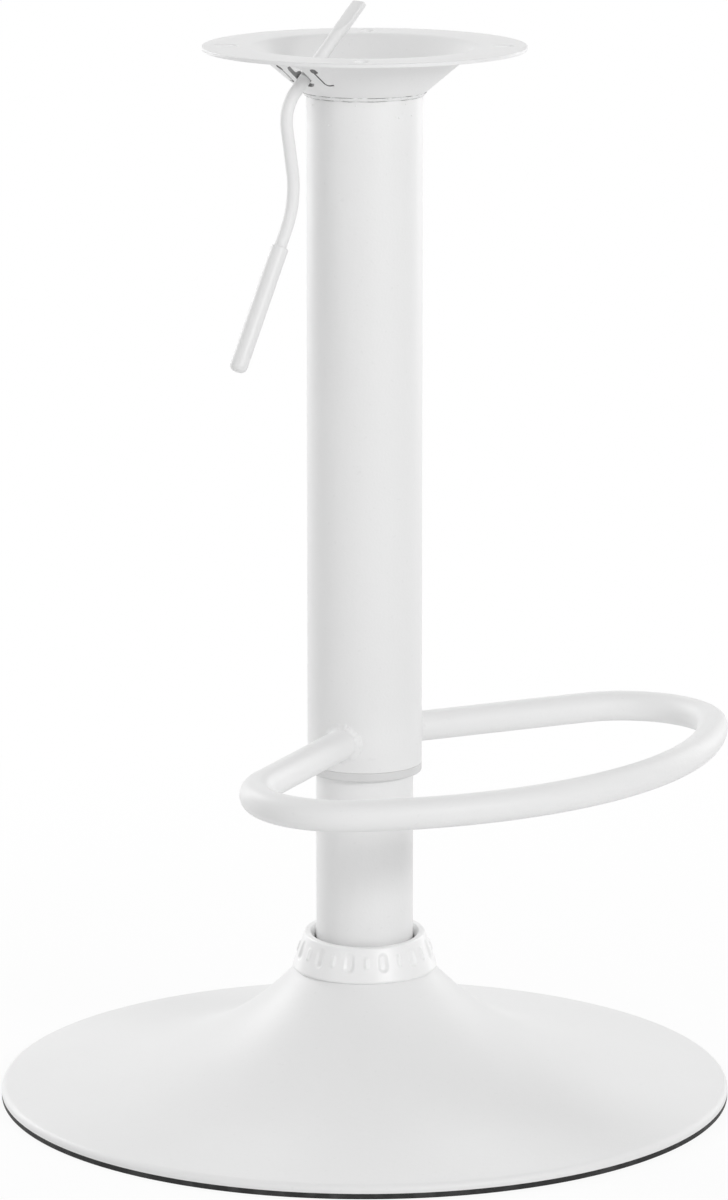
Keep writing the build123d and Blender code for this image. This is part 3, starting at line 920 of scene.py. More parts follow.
@dataclass
class Collar(Assembly):
    """Plastic collar over the neck, with rounded flutes and short bars in turn."""

    foot: Foot
    low_r: float = 0.038
    top_r: float = 0.0316
    mouth_r: float = 0.0286
    mouth_deep: float = 0.0034
    throat_r: float = 0.0263
    top: float = 0.0866
    wall: float = 0.0024
    wall_step: float = 0.0004
    skirt: float = 0.0025
    lip: float = 0.0046
    low_edge: float = 0.0007
    edge: float = 0.0012
    mouth_edge: float = 0.0008
    lip_edge: float = 0.0004
    flutes: int = 12
    turn: float = 2.5
    flute_w: float = 0.0064
    flute_h: float = 0.0114
    flute_depth: float = 0.0013
    flute_side: float = 0.0022
    flute_top: float = 0.35
    flute_down: float = 0.008
    bar_w: float = 0.0036
    bar_h: float = 0.0078
    bar_proud: float = 0.0008
    lean: float = 0.055
    lean_from: float = -0.021
    edge_steps: int = 6
    segments: int = 720

    @cached_property
    def low(self) -> float:
        """Height of the lower edge, on the foot."""
        return self.foot.flare_height(self.low_r)

    @cached_property
    def wall_line(self) -> tuple[Vector, Vector]:
        """Top end of the leaning wall and its direction, downward."""
        top = Vector((self.top_r, self.top))
        return top, (Vector((self.low_r, self.low + self.skirt)) - top).normalized()

    def on_wall(self, point: Vector) -> bool:
        """Whether a point lies on the outer face of the leaning wall."""
        top, down = self.wall_line
        return abs((point - top).cross(down)) < CLOSE

    def outline(self) -> Outline:
        """Section of the collar, with close points down the leaning wall.

        Returns:
            The section's points.
        """
        seat_r = self.low_r - self.wall
        skirt_top, lip_low = self.low + self.skirt, self.top - self.lip
        corners = [
            (self.low_r, self.low, self.low_edge),
            (self.low_r, skirt_top, self.edge),
            (self.top_r, self.top, self.edge),
            (self.mouth_r, self.top, self.mouth_edge),
            (self.throat_r, self.top - self.mouth_deep, self.mouth_edge),
            (self.throat_r, lip_low, self.lip_edge),
            (self.top_r - self.wall / 2, lip_low, 0.0),
            (seat_r, skirt_top, 0.0),
            (seat_r, self.foot.flare_height(seat_r), 0.0),
        ]
        plain = rounded(corners, self.edge_steps)
        made: Outline = []
        for here, after in zip(plain, plain[1:] + plain[:1]):
            made.append(here)
            first, last = Vector(here), Vector(after)
            if self.on_wall(first.lerp(last, 0.5)):
                steps = int((last - first).length / self.wall_step)
                made += [tuple(first.lerp(last, k / steps)) for k in range(1, steps)]
        return made

    def relief(self, point: Vector, angle: float) -> float:
        """Height of the flutes and bars at a point of the wall.

        Args:
            point: Place in the section.
            angle: Angle round the collar.

        Returns:
            How far the wall stands out there, or in where it is negative.
        """
        top, down = self.wall_line
        along = (point - top).dot(down) - self.flute_down
        pitch = tau / self.flutes
        from_bar = angle - radians(self.turn)
        to_flute = (from_bar % pitch - pitch / 2) * point.x
        to_bar = ((from_bar + pitch / 2) % pitch - pitch / 2) * point.x
        inside = depth_in_bar(to_flute, along, self.flute_w, self.flute_h)
        flute = smooth_step(inside / self.flute_side)
        downward = along / self.flute_h + 0.5
        flute *= smooth_step(self.flute_top + (1 - self.flute_top) * downward)
        inside = depth_in_bar(to_bar, along, self.bar_w, self.bar_h)
        bar = smooth_step(inside / (self.bar_w / 2))
        return self.bar_proud * bar - self.flute_depth * flute

    def push(self, point: Vector, angle: float) -> tuple[float, float]:
        """Move a point for the flutes and bars, and for the lean of the mouth to the front.

        Args:
            point: Place in the section.
            angle: Angle round the collar.

        Returns:
            The radius and the height to add.
        """
        share = max((point.y - self.low) / (self.top - self.low), 0.0)
        rise = share * self.lean * (point.x * sin(angle) - self.lean_from)
        if not self.on_wall(point):
            return 0.0, rise
        down = self.wall_line[1]
        moved = Vector((-down.y, down.x)) * self.relief(point, angle)
        return moved.x, moved.y + rise

    def build(self) -> None:
        """Make the collar."""
        piece = lathe("neck_collar", self.outline(), self.segments, push=self.push)
        self.fit(piece, COLLAR, "collar_ring")


@dataclass
class Stand(Assembly):
    """Fixed tube that the column slides on."""

    outer_r: float = 0.0255
    wall: float = 0.0015
    low: float = 0.010
    top: float = 0.445
    edge: float = 0.0004
    edge_steps: int = 3
    segments: int = 192

    def build(self) -> None:
        """Make the tube."""
        inner = self.outer_r - self.wall
        corners = [
            (self.outer_r, self.low, self.edge),
            (self.outer_r, self.top, self.edge),
            (inner, self.top, self.edge),
            (inner, self.low, self.edge),
        ]
        section = rounded(corners, self.edge_steps)
        self.fit(lathe("stand_pipe", section, self.segments), WHITE, "stand_tube")


@dataclass
class Column(Assembly):
    """Outer tube of the column with its lower bush and the weld at its top."""

    outer_r: float = 0.030
    wall: float = 0.0015
    low: float = 0.1797
    top: float = 0.531
    edge: float = 0.0005
    top_edge: float = 0.0001
    edge_steps: int = 4
    segments: int = 256
    bush_flange: float = 0.0047
    bush_sleeve: float = 0.0403
    bush_bore: float = 0.02555
    bush_edge: float = 0.0012
    bush_shoulder: float = 0.0003
    bush_end: float = 0.0004
    bush_mouth: float = 0.0005
    bush_steps: int = 6
    bush_segments: int = 192
    fit_gap: float = 0.00002
    bead_down: float = 0.0007
    bead_up: float = 0.0028
    bead_bulge: float = 0.00035
    bead_sink: float = 0.0003
    bead_segments: int = 420
    bead_steps: int = 9
    swells: tuple[tuple[float, float], ...] = ((7.0, 0.3), (26.0, 0.4))
    lump: float = 0.4
    lump_waves: Triple = (22.0, 0.55, 4.0)
    low_toe: float = 0.6
    high_toe: float = 0.55
    cone_slope: float = 40.0
    spatter_seed: int = 7
    spatter_count: int = 46
    spatter_band: float = 0.012
    drop_size: tuple[float, float] = (0.00022, 0.0005)
    drop_width: tuple[float, float] = (0.8, 1.3)
    drop_flat: float = 0.6

    def build(self) -> None:
        """Make the tube, the bush and the weld."""
        inner = self.outer_r - self.wall
        tube = [
            (self.outer_r, self.low, self.edge),
            (self.outer_r, self.top, self.top_edge),
            (inner, self.top, self.top_edge),
            (inner, self.low, self.edge),
        ]
        pipe = lathe("column_pipe", rounded(tube, self.edge_steps), self.segments)
        self.fit(pipe, WHITE, "upper_tube")
        sleeve_r = inner - self.fit_gap
        flange_low, sleeve_top = self.low - self.bush_flange, self.low + self.bush_sleeve
        bush = [
            (self.outer_r, flange_low, self.bush_edge),
            (self.outer_r, self.low, self.bush_shoulder),
            (sleeve_r, self.low, 0.0),
            (sleeve_r, sleeve_top, self.bush_end),
            (self.bush_bore, sleeve_top, self.bush_end),
            (self.bush_bore, flange_low, self.bush_mouth),
        ]
        piece = lathe("column_bush", rounded(bush, self.bush_steps), self.bush_segments)
        self.fit(piece, BUSH, "sleeve_bush")
        toes = (self.top - self.low_toe * self.bead_down, self.top + self.high_toe * self.bead_up)
        coat = ToedWeldCoat(
            "white_coat_on_column_weld", Slot.WELD_COAT, WELD.colour, toes=toes
        )
        self.fit(self.bead(), coat, "column_weld")
        self.fit(self.spatter(), WHITE)

    def bead(self) -> bpy.types.Object:
        """Uneven flat weld bead in the corner under the cone.

        Returns:
            The bead.
        """
        low = Vector((self.outer_r, self.top - self.bead_down))
        high = Vector((self.outer_r, self.top)) + toward(self.cone_slope) * self.bead_up
        along = (high - low).normalized()
        out = Vector((along.y, -along.x))
        root = self.outer_r - 2 * self.bead_sink
        wave_x, wave_y, layer = self.lump_waves
        steps = self.bead_steps
        rings = []
        for angle in turns(self.bead_segments):
            spot = Vector((cos(angle), sin(angle), 0.0))
            swell = 1 + sum(noise.noise(spot * waves) * size for waves, size in self.swells)
            section = []
            for k in range(steps + 1):
                share = k / steps
                lump = noise.noise(Vector((angle * wave_x, k * wave_y, layer)))
                crown = 4 * share * (1 - share)
                proud = self.bead_bulge * (crown * swell + self.lump * lump)
                sunk = self.bead_sink if k in (0, steps) else 0.0
                section.append(low.lerp(high, share) + out * (proud - sunk))
            section += [Vector((root, self.top + self.bead_sink)), Vector((root, low.y))]
            rings.append([spot * point.x + UP * point.y for point in section])
        return skin("column_bead", rings, True, Crease.BEAD)

    def spatter(self) -> bpy.types.Object:
        """Small painted-over drops on the tube under the weld.

        Returns:
            The drops as one piece.
        """
        chance = Random(self.spatter_seed)
        shape = bmesh.new()
        for _ in range(self.spatter_count):
            angle = chance.uniform(0, tau)
            down = 2 * self.bead_down + self.spatter_band * chance.random() ** 2
            size = chance.uniform(*self.drop_size)
            spot = Matrix.Translation((self.outer_r, 0, self.top - down))
            wide = size * chance.uniform(*self.drop_width)
            flat = Matrix.Diagonal((size * self.drop_flat, wide, size, 1.0))
            place = Matrix.Rotation(angle, 4, "Z") @ spot @ flat
            bmesh.ops.create_icosphere(shape, subdivisions=2, radius=1.0, matrix=place)
        mesh = bpy.data.meshes.new("weld_spatter")
        shape.to_mesh(mesh)
        shape.free()
        return settled(bpy.data.objects.new("weld_spatter", mesh), Crease.WELD)


@dataclass
class SeatPlate(Assembly):
    """Funnel plate with its screw slots and the two straps that hold the lever's pin."""

    flange_r: float = 0.0835
    sheet: float = 0.002
    bend: float = 0.007
    slope: float = 40.0
    foot_r: float = 0.030
    foot_z: float = 0.531
    seat_z: float = 0.556
    edge: float = 0.0004
    edge_steps: int = 4
    cone_steps: int = 10
    bend_steps: int = 14
    flange_steps: int = 5
    segments: int = 288
    slots: int = 4
    slot_w: float = 0.007
    slot_l: float = 0.012
    slot_r: float = 0.071
    slot_mouth: float = 0.0006
    slot_angles: tuple[float, ...] = (0.0, 0.5, 1.0, pi / 2)
    slot_deep: float = 0.006
    slot_steps: int = 14
    lever_azimuth: float = -135.0
    pivot_up_cone: float = 0.0163
    pivot_in: float = 0.001
    pin_hole_r: float = 0.00135
    pin_hole_l: float = 0.0157
    knuckle_r: float = 0.00275
    knuckle_share: float = 0.95
    knuckle_steps: int = 24
    lance_up: float = 0.0033
    rod_hole_l: float = 0.0178
    rod_hole_steps: int = 16
    rod_gap: float = 0.0110
    slit_at: float = 0.0119
    slit_w: float = 0.0011
    slit_high: float = 0.0080
    slit_low: float = -0.0050
    slit_bend: float = 0.0024
    slit_end: float = 0.0163
    slit_steps: int = 10
    relief_r: float = 0.0021
    relief_at: float = 0.0127
    punch_deep: float = 0.008
    mark_tilt: float = 0.6
    mark_reach: float = 1.1
    mark_hole: float = 0.51
    mark_hole_deep: float = 0.004
    mark_slit_deep: float = 0.0012

    def cone_point(self, along: float) -> Vector:
        """Point of the cone's middle line, at a distance up it from the column's top edge."""
        foot = Vector((self.foot_r, self.foot_z)) + toward(self.slope + 90) * (self.sheet / 2)
        return foot + toward(self.slope) * along

    def frame(self) -> Matrix:
        """Frame at the lever in the cone's wall.

        Returns:
            Matrix from x up the cone, y round it and z out of the wall to the part's frame.
        """
        middle = self.cone_point(self.pivot_up_cone)
        outward, lean = toward(self.lever_azimuth).to_3d(), toward(self.slope)
        rise = outward * lean.x + UP * lean.y
        normal = outward * lean.y - UP * lean.x
        axes = Matrix((rise, normal.cross(rise), normal)).transposed().to_4x4()
        return Matrix.Translation(outward * middle.x + UP * middle.y) @ axes

    def face(self, offset: float) -> Outline:
        """One face of the sheet from the column's edge to the rim of the flange.

        Args:
            offset: Distance of the face from the middle line, upward.

        Returns:
            The points of the face.
        """
        flange_z = self.seat_z - self.sheet / 2
        climb = sin(radians(self.slope))
        start = self.cone_point(0)
        corner = self.cone_point((flange_z - start.y) / climb)
        setback = self.bend * tan(radians(self.slope / 2))
        centre = Vector((corner.x + setback, flange_z - self.bend))
        curved = arc(centre, self.bend + offset, 90 + self.slope, 90, self.bend_steps)
        foot = start + toward(self.slope + 90) * offset
        foot += toward(self.slope) * ((self.foot_z - foot.y) / climb)
        first = Vector(curved[0])
        steps = self.cone_steps
        cone = [tuple(foot.lerp(first, k / steps)) for k in range(steps)]
        last_r, last_z = curved[-1]
        steps = self.flange_steps
        rim = [(last_r + (self.flange_r - last_r) * k / steps, last_z) for k in range(1, steps)]
        return cone + curved + rim

    def bar(self, name: str, section: Outline, low: float, high: float) -> bpy.types.Object:
        """Solid of a section that lies across the lever's frame.

        Args:
            name: Name of the new object.
            section: Section, up the cone and out of its wall.
            low: Where it starts, round the cone.
            high: Where it ends.

        Returns:
            The solid.
        """
        place = self.frame()
        rings = [[place @ Vector((x, y, z)) for x, z in section] for y in (low, high)]
        return skin(name, rings, False)

    def punch(self, outline: Outline) -> bpy.types.Object:
        """Cutter through the wall.

        Args:
            outline: Its outline, up the cone and round it.

        Returns:
            The cutter.
        """
        place, deep = self.frame(), self.punch_deep
        rings = [[place @ Vector((x, y, z)) for x, y in outline] for z in (-deep, deep)]
        return skin("punch", rings, False)

    def slit(self, side: int) -> Outline:
        """Slit beside one strap, which turns outward at its lower end.

        Args:
            side: 1 or -1 for the strap.

        Returns:
            The slit's outline.
        """
        centre = (self.slit_low + self.slit_bend, self.slit_at + self.slit_bend)
        made: Outline = []
        for half in (self.slit_w / 2, -self.slit_w / 2):
            line = [(self.slit_high, self.slit_at - half)]
            line += arc(centre, self.slit_bend + half, 270, 180, self.slit_steps)
            line += [(self.slit_low - half, self.slit_end)]
            made += line if half > 0 else line[::-1]
        return [(x, side * y) for x, y in made]

    def lance(self, plate: bpy.types.Object) -> None:
        """Cut the rod's hole and the slits beside the straps, and set the knuckles of the pin.

        Args:
            plate: The funnel, still whole.
        """
        gap, pin = self.rod_gap / 2, (0.0, -self.pivot_in)
        near, far = gap * self.knuckle_share, self.slit_at * self.knuckle_share
        for low, high in ((-far, -near), (near, far)):
            knuckle = arc(pin, self.knuckle_r, -180, 0, self.knuckle_steps)
            work(plate, self.bar("knuckle", knuckle, low, high), Cut.ADD)
        reach = self.pin_hole_l / 2
        pin_hole = circle(pin, self.pin_hole_r)
        work(plate, self.bar("pin_tool", pin_hole, -reach, reach), Cut.REMOVE)
        half = self.rod_hole_l / 2 - gap
        punches = [long_hole(self.lance_up, half, gap, self.rod_hole_steps)]
        for side in (-1, 1):
            punches.append(self.slit(side))
            punches.append(circle((self.slit_high, side * self.relief_at), self.relief_r))
        for outline in punches:
            work(plate, self.punch(outline), Cut.REMOVE)

    def mark_cut_walls(self, plate: bpy.types.Object) -> None:
        """Mark the walls of the cuts beside the lever, which the funnel's coat darkens as painted
        shade.

        Args:
            plate: The finished funnel.
        """
        # Faces marked here get painted shade in the funnel's coat.
        marks = plate.data.attributes.new(CUT_WALL, "FLOAT", "FACE")
        inward = self.frame().inverted()
        hole_r = self.cone_point(self.pivot_up_cone + self.lance_up).x
        round_r = hole_r / sin(radians(self.slope))
        wide, reach = self.rod_gap * self.mark_hole, self.slit_end * self.mark_reach
        for face in plate.data.polygons:
            spot = inward @ face.center
            steep = abs((inward.to_3x3() @ face.normal).z) < self.mark_tilt
            near = abs(spot.x - self.lance_up) < self.rod_hole_l and abs(spot.y) < reach
            limit = self.mark_hole_deep if abs(spot.y) < wide else self.mark_slit_deep
            depth = spot.z + spot.y**2 / (2 * round_r)
            marks.data[face.index].value = float(steep and near and abs(depth) < limit)

    def slot_tool(self, azimuth: float) -> bpy.types.Object:
        """Cutter of a screw slot, which opens out to round the slot's upper edge.

        Args:
            azimuth: Angle of the slot round the plate.

        Returns:
            The cutter.
        """
        half = (self.slot_l - self.slot_w) / 2
        turn = Matrix.Rotation(azimuth, 3, "Z")
        levels = [(0.0, self.slot_deep)]
        levels += corner_round(self.slot_mouth, self.slot_angles)
        levels += [(self.slot_mouth, -self.slot_deep)]
        rings = []
        for wider, down in levels:
            section = long_hole(self.slot_r, half, self.slot_w / 2 + wider, self.slot_steps)
            rings.append([turn @ Vector((x, y, self.seat_z - down)) for x, y in section])
        return skin("slot_tool", rings, False)

    def build(self) -> None:
        """Make the plate."""
        half, round_r = self.sheet / 2, self.flange_r - self.edge
        rim_low, rim_high = self.seat_z - self.sheet + self.edge, self.seat_z - self.edge
        rim = arc((round_r, rim_low), self.edge, -90, 0, self.edge_steps)
        rim += arc((round_r, rim_high), self.edge, 0, 90, self.edge_steps)
        outline = self.face(-half) + rim + self.face(half)[::-1]
        plate = lathe("seat_funnel", outline, self.segments)
        self.lance(plate)
        for azimuth in turns(self.slots):
            work(plate, self.slot_tool(azimuth), Cut.REMOVE)
        self.mark_cut_walls(settled(plate, Crease.SHEET))
        self.fit(plate, CUT_SHEET, "seat_plate")


@dataclass
class Footrest(Assembly):
    """Bent footrest tube and the welds at its roots."""

    azimuth: float = -42.5
    height: float = 0.1952
    tube_r: float = 0.008
    radius: float = 0.213
    set_back: float = 0.040
    bend: float = 0.046
    spread: float = 69.6
    column_r: float = 0.030
    leg_start: float = 1.2
    leg_steps: int = 6
    bend_steps: int = 24
    bow_steps: int = 40
    points: int = 40
    toe: float = 0.0028
    heel: float = 0.0026
    weld_sink: float = 0.0004
    weld_steps: int = 160
    hollow: float = 0.94
    hollow_angles: tuple[float, ...] = (0.35, 0.65, 0.95, 1.25)
    swell_waves: float = 2.6
    toe_swell: float = 0.35
    heel_swell: float = 0.3
    beats: int = 15
    beat: float = 0.06
    lump: float = 0.35
    lump_waves: float = 9.0
    smooth_share: float = 0.25

    def stations(self) -> list[tuple[Vector, float]]:
        """Stations along the middle line of half the tube, about the X axis.

        Returns:
            Each station's place, and the heading there in degrees.
        """
        leg, middle = toward(self.spread), Vector((-self.set_back, 0))
        aside = toward(self.spread - 90) * self.bend - middle
        back = aside.dot(leg)
        reach = (self.radius - self.bend) ** 2 - aside.length_squared
        leg_end = leg * (sqrt(reach + back**2) - back)
        spoke = leg_end + aside
        meet = degrees(atan2(spoke.y, spoke.x))
        made = [(leg * (self.column_r * self.leg_start), self.spread)]
        made += [(leg_end * (k / self.leg_steps), self.spread) for k in range(2, self.leg_steps)]
        first = self.spread + 90
        for k in range(self.bend_steps + 1):
            angle = first + (meet - first) * k / self.bend_steps
            made.append((middle + spoke + toward(angle) * self.bend, angle - 90))
        for k in range(1, self.bow_steps + 1):
            angle = meet * (1 - k / self.bow_steps)
            made.append((middle + toward(angle) * self.radius, angle - 90))
        return made

    def ring(self, place: Vector | None, heading: float) -> list[Vector]:
        """Ring of the tube.

        Args:
            place: Place on the middle line, or none for the end on the column's round.
            heading: Heading of the tube there in degrees.

        Returns:
            The ring's points.
        """
        leg, side = toward(heading), toward(heading - 90)
        ring = []
        for angle in turns(self.points):
            across = self.tube_r * cos(angle)
            if place is None:
                spot = leg * sqrt(self.column_r**2 - across**2) + side * across
            else:
                spot = place + side * across
            ring.append(Vector((spot.x, spot.y, self.tube_r * sin(angle))))
        return ring

    def placed(self, rings: Sequence[Ring]) -> list[list[Vector]]:
        """Rings moved from the X axis to the footrest's place."""
        move = Matrix.Translation(UP * self.height) @ Matrix.Rotation(radians(self.azimuth), 4, "Z")
        return [[move @ point for point in ring] for ring in rings]

    def weld_section(self, angle: float, side: int) -> Outline:
        """Section of a root's weld, which is rougher above than below.

        Args:
            angle: Angle round the tube.
            side: 1 for the right leg and -1 for the left.

        Returns:
            Points by their distance out of the tube and along it.
        """
        spot = Vector((cos(angle), sin(angle), side))
        swell = noise.noise(spot * self.swell_waves)
        beat = sin(angle * self.beats) * self.beat
        beat += noise.noise(spot * self.lump_waves) * self.lump
        beat *= self.smooth_share + (1 - self.smooth_share) * max(sin(angle), 0.0)
        toe = self.toe * (1 + self.toe_swell * swell + beat)
        heel = self.heel * (1 + self.heel_swell * swell + beat)
        sunk = -self.weld_sink
        curve = [
            (heel * (1 - cos(t)), toe * (1 - sin(t) * self.hollow)) for t in self.hollow_angles
        ]
        return [(0.0, toe), *curve, (heel, 0.0), (heel, sunk), (sunk, sunk), (sunk, toe)]

    def weld(self, name: str, side: int) -> bpy.types.Object:
        """Uneven fillet weld round one root.

        Args:
            name: Name of the new object.
            side: 1 for the right leg and -1 for the left.

        Returns:
            The weld.
        """
        heading = toward(side * self.spread)
        leg, across = heading.to_3d(), Vector((-heading.y, heading.x, 0))
        rings = []
        for angle in turns(self.weld_steps):
            ring = []
            for out, along in self.weld_section(angle, side):
                span = self.tube_r + out
                wide = span * cos(angle)
                reach = sqrt(self.column_r**2 - wide**2) + along
                ring.append(leg * reach + across * wide + UP * (span * sin(angle)))
            rings.append(ring)
        return skin(name, self.placed(rings), True, Crease.WELD)

    def build(self) -> None:
        """Make the tube and its welds."""
        stations = [(None, self.spread), *self.stations()]
        half = [self.ring(*station) for station in stations]
        mirrored = [[Vector((p.x, -p.y, p.z)) for p in ring] for ring in reversed(half[:-1])]
        bar = skin("footrest_bar", self.placed(half + mirrored), False)
        self.fit(bar, WHITE, "footrest")
        self.fit(self.weld("footrest_bead_right", 1), WELD, "footrest_weld_right")
        self.fit(self.weld("footrest_bead_left", -1), WELD, "footrest_weld_left")


@dataclass
class Lever(Assembly):
    """Release lever: a bent rod with a flattened tip, a grip sleeve and a cross pin."""

    plate: SeatPlate
    rod_r: float = 0.00325
    inner: float = 0.0515
    rise: float = 43.0
    shoulder: float = 0.021
    drop: float = 0.0486
    lean: float = 9.6
    tail: float = 0.0934
    kick: float = 26.5
    shoulder_bend: float = 0.020
    elbow_bend: float = 0.048
    straight_step: float = 0.0012
    bend_steps: int = 24
    tail_steps: int = 16
    rod_points: int = 40
    flat_w: float = 0.009
    flat_t: float = 0.0036
    flat_l: float = 0.014
    flat_runout: float = 0.009
    flat_edge: float = 0.0006
    flat_angles: tuple[float, ...] = (0.0, 0.4, 0.8, 1.2, pi / 2)
    flat_power: float = 4.5
    grip_r: float = 0.0046
    grip_l: float = 0.0679
    grip_end: float = 0.003
    grip_round: float = 0.0034
    grip_edge: float = 0.0008
    grip_play: float = 0.00002
    grip_steps: int = 6
    grip_round_steps: int = 10
    grip_edge_steps: int = 5
    grip_segments: int = 64
    pin_r: float = 0.0013
    pin_l: float = 0.0154
    pin_edge: float = 0.0003
    pin_steps: int = 3
    pin_segments: int = 40
    shade_band_in: float = 0.0015

    def pivot(self) -> Vector:
        """Pivot in the lever's plane."""
        middle = self.plate.cone_point(self.plate.pivot_up_cone)
        return middle + toward(self.plate.slope + 90) * self.plate.pivot_in

    def corners(self) -> list[Vector]:
        """Corners of the middle line in the lever's plane.

        Returns:
            The tip, the shoulder, the elbow and the end.
        """
        pivot, arm = self.pivot(), toward(180 - self.rise)
        shoulder = pivot - arm * self.shoulder
        elbow = shoulder + toward(-90 - self.lean) * self.drop
        end = elbow + toward(self.kick - 90) * self.tail
        return [pivot + arm * self.inner, shoulder, elbow, end]

    def stations(self) -> list[tuple[Vector, Vector]]:
        """Stations along the bent middle line in the lever's plane.

        Returns:
            Each station's place, and the heading there.
        """
        corners = self.corners()
        made: list[tuple[Vector, Vector]] = []
        start = corners[0]
        for k, bend in ((1, self.shoulder_bend), (2, self.elbow_bend)):
            before, here, after = corners[k - 1 : k + 2]
            into, onward = (here - before).normalized(), (after - here).normalized()
            turn = into.angle_signed(onward)
            setback = bend * tan(abs(turn) / 2)
            first = here - into * setback
            steps = max(2, int((first - start).length / self.straight_step))
            made += [(start.lerp(first, i / steps), into) for i in range(steps)]
            inward = Vector((into.y, -into.x)) * (1 if turn > 0 else -1)
            centre = first + inward * bend
            for i in range(self.bend_steps):
                spin = Matrix.Rotation(-turn * i / self.bend_steps, 2)
                made.append((centre + spin @ (first - centre), spin @ into))
            start = here + onward * setback
        end = corners[-1] - onward * (self.grip_end + self.grip_play)
        steps = self.tail_steps
        return made + [(start.lerp(end, i / steps), onward) for i in range(steps + 1)]

    def to_frame(self) -> Matrix:
        """Matrix from the lever's plane, with x outward, y up and z across, to the part's frame."""
        outward = toward(self.plate.lever_azimuth).to_3d()
        return Matrix((outward, UP, outward.cross(UP))).transposed().to_4x4()

    def rod_ring(self, away: float, shrink: float) -> Outline:
        """Section of the rod, which runs from a flat blade into a round bar.

        Args:
            away: Distance from the tip.
            shrink: How much smaller the section is, in the round of the tip's edge.

        Returns:
            Points by their place across the lever's plane and in it.
        """
        share = smooth_step((away - self.flat_l) / self.flat_runout)
        wide, thick = (
            flat / 2 + (self.rod_r - flat / 2) * share - shrink
            for flat in (self.flat_w, self.flat_t)
        )
        power = 2 / (self.flat_power + (2 - self.flat_power) * share)
        made: Outline = []
        for angle in turns(self.rod_points):
            x, y = (copysign(abs(f) ** power, f) for f in (cos(angle), sin(angle)))
            made.append((wide * x, thick * y))
        return made

    def rod(self) -> bpy.types.Object:
        """Bent rod whose tip runs out into a flat blade.

        Returns:
            The rod.
        """
        place, stations = self.to_frame(), self.stations()
        tip, heading = stations[0]
        cap = corner_round(self.flat_edge, self.flat_angles)
        spots = [(tip + heading * along, heading, shrink) for along, shrink in cap]
        clear = 2 * self.flat_edge
        spots += [(spot, onward, 0.0) for spot, onward in stations if (spot - tip).length > clear]
        rings = []
        for spot, onward, shrink in spots:
            side = Vector((-onward.y, onward.x))
            section = self.rod_ring((spot - tip).length, shrink)
            points = [(spot + side * thick, wide) for wide, thick in section]
            rings.append([place @ Vector((point.x, point.y, wide)) for point, wide in points])
        return skin("lever_bar", rings, False, Crease.ROD)

    def grip(self) -> bpy.types.Object:
        """Sleeve with a rounded blind end.

        Returns:
            The sleeve.
        """
        elbow, end = self.corners()[2:]
        bore = self.rod_r + self.grip_play
        low, high = self.grip_round, self.grip_l
        outline = [(AXIS_GAP, 0.0)]
        outline += arc((self.grip_r - low, low), low, -90, 0, self.grip_round_steps)
        steps = self.grip_steps
        outline += [(self.grip_r, low + (high - low) * k / steps) for k in range(1, steps)]
        edge = self.grip_edge
        outline += arc((self.grip_r - edge, high - edge), edge, 0, 90, self.grip_edge_steps)
        outline += [(bore, high), (bore, self.grip_end), (AXIS_GAP, self.grip_end)]
        piece = lathe("lever_sleeve", outline, self.grip_segments, looped=False)
        up = self.to_frame() @ (elbow - end).normalized().to_3d()
        foot = Matrix.Translation(self.to_frame() @ end.to_3d())
        piece.data.transform(foot @ up.to_track_quat("Z", "Y").to_matrix().to_4x4())
        return piece

    def pin(self) -> bpy.types.Object:
        """Cross pin that turns in the knuckles of the funnel.

        Returns:
            The pin.
        """
        end = self.pin_l / 2
        corners = [
            (AXIS_GAP, -end, 0.0),
            (self.pin_r, -end, self.pin_edge),
            (self.pin_r, end, self.pin_edge),
            (AXIS_GAP, end, 0.0),
        ]
        section = rounded(corners, self.pin_steps)
        piece = lathe("lever_cross_pin", section, self.pin_segments, looped=False)
        piece.data.transform(self.to_frame() @ Matrix.Translation(self.pivot().to_3d()))
        return piece

    def build(self) -> None:
        """Make the rod, its grip and its pin."""
        place, arm = self.to_frame(), toward(180 - self.rise)
        # The rod's coat gets a band of painted shade inside the funnel's rod hole.
        coat = HoleShadedCoat(
            "satin_white_coat_on_rod",
            Slot.WHITE_COAT,
            WHITE.colour,
            middle=tuple(place @ (self.pivot() + arm * self.shade_band_in).to_3d()),
            axis=tuple(place.to_3x3() @ arm.to_3d()),
        )
        self.fit(self.rod(), coat, "lever_rod")
        self.fit(self.grip(), GRIP, "lever_grip")
        self.fit(self.pin(), BRIGHT, "lever_pin")


@dataclass(frozen=True)
class Lamp:
    """Soft lamp that faces the middle of the stool, placed as seen from the camera's side."""

    name: str
    right: float
    up: float
    away: float
    width: float
    height: float
    power: float
    aim: float = 0.3

    def build(self) -> None:
        """Hang the lamp."""
        light = bpy.data.lights.new(self.name, "AREA")
        light.shape, light.energy = "RECTANGLE", self.power
        light.size, light.size_y = self.width, self.height
        turn, lift = radians(self.right), radians(self.up)
        heading = Vector((sin(turn) * cos(lift), -cos(turn) * cos(lift), sin(lift)))
        lamp = bpy.data.objects.new(self.name, light)
        lamp.location = UP * self.aim + heading * self.away
        lamp.rotation_euler = heading.to_track_quat("Z", "Y").to_euler()
        bpy.context.scene.collection.objects.link(lamp)


LAMPS = (
    Lamp("key_lamp", right=38.0, up=20.0, away=3.2, width=1.2, height=0.5, power=31.7),
    Lamp("high_front_lamp", right=0.0, up=62.0, away=3.0, width=2.0, height=2.0, power=3.7),
    Lamp("left_front_lamp", right=-45.0, up=18.0, away=3.0, width=1.6, height=1.4, power=6.7),
    Lamp("left_back_lamp", right=-130.0, up=27.0, away=3.0, width=1.2, height=0.8, power=19.5),
    Lamp("left_rim_lamp", right=-135.0, up=12.0, away=2.6, width=0.8, height=2.0, power=15.3),
    Lamp("right_rim_lamp", right=138.0, up=12.0, away=2.6, width=0.8, height=2.0, power=14.5),
    Lamp("back_lamp", right=180.0, up=20.0, away=3.0, width=2.4, height=1.2, power=3.4),
)


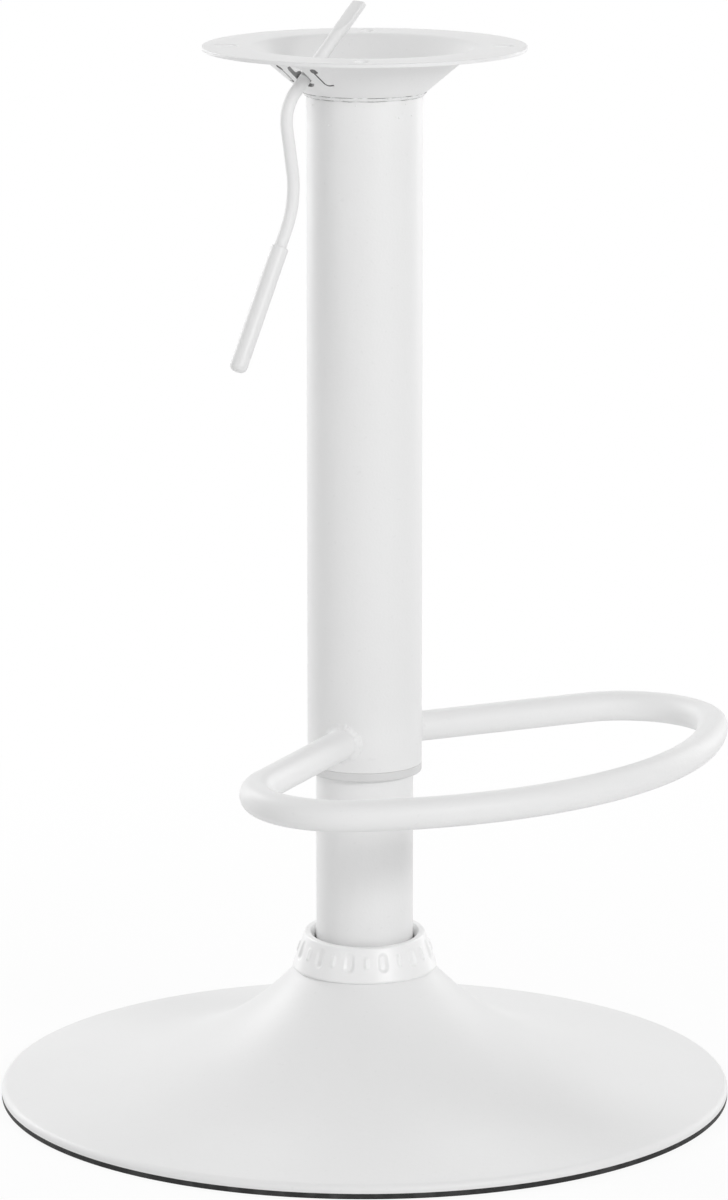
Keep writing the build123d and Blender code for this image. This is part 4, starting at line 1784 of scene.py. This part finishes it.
@dataclass
class Studio:
    """Floor, soft lights, world and camera."""

    floor_half: float = 40.0
    floor_colour: Colour = grey(0.9)
    ambient: float = 0.53
    camera_azimuth: float = 1.0
    camera_back: float = 3.00533
    camera_height: float = 0.89334
    camera_pitch: float = 11.9585
    sensor: float = 36.0
    lens: float = 176.35
    shift_x: float = -0.0005
    shift_y: float = 0.0142
    sight: float = 200.0

    def floor(self) -> None:
        """Make the floor."""
        mesh = bpy.data.meshes.new("studio_floor")
        side = self.floor_half
        corners = [(-side, -side, 0), (side, -side, 0), (side, side, 0), (-side, side, 0)]
        mesh.from_pydata(corners, [], [(0, 1, 2, 3)])
        piece = bpy.data.objects.new("studio_floor", mesh)
        mesh.materials.append(FloorPaint("studio_floor", None, self.floor_colour).material())
        bpy.context.scene.collection.objects.link(piece)

    def world(self) -> None:
        """Even light from all round, behind a white background."""
        world = bpy.data.worlds.new("studio_world")
        world.use_nodes = True
        bpy.context.scene.world = world
        graph = Graph(world.node_tree)
        strength = self.ambient + ray_is_seen(graph) * (1.0 - self.ambient)
        sockets = {"Color": grey(1.0), "Strength": strength}
        glow = graph.node("ShaderNodeBackground", {}, sockets)
        graph.node("ShaderNodeOutputWorld", {}, {"Surface": glow})

    def camera(self) -> None:
        """Stand the camera where the photograph was taken."""
        data = bpy.data.cameras.new("photo_camera")
        data.sensor_fit, data.sensor_height, data.lens = "VERTICAL", self.sensor, self.lens
        data.shift_x, data.shift_y = self.shift_x, self.shift_y
        data.clip_end = self.sight
        camera = bpy.data.objects.new("photo_camera", data)
        turn, back = radians(self.camera_azimuth), self.camera_back
        camera.location = (back * sin(turn), -back * cos(turn), self.camera_height)
        camera.rotation_euler = (radians(90 - self.camera_pitch), 0, turn)
        bpy.context.scene.collection.objects.link(camera)
        bpy.context.scene.camera = camera

    def build(self) -> None:
        """Set the whole studio."""
        self.floor()
        self.world()
        for lamp in LAMPS:
            lamp.build()
        self.camera()
        bpy.context.scene.view_settings.view_transform = "Standard"


def dress_nodes() -> None:
    """Give each node that stays its finish."""
    by_slot = {finish.slot.value: finish for finish in FINISHES}
    for row in frame["record"]["subparts"]:
        node = frame["nodes"][row["node"]]
        node.data.materials.clear()
        node.data.materials.append(by_slot[row["material_slot"]].material())


def main() -> None:
    """Build the stool base and its studio."""
    logging.basicConfig(level=logging.INFO, format="%(message)s")
    dress_nodes()
    foot = Foot(Body.BASE)
    plate = SeatPlate(Body.COLUMN)
    for part in (
        foot,
        Collar(Body.BASE, foot),
        Stand(Body.BASE),
        Column(Body.COLUMN),
        plate,
        Footrest(Body.COLUMN),
        Lever(Body.LEVER, plate),
        Studio(),
    ):
        part.build()


if __name__ == "__main__":
    main()
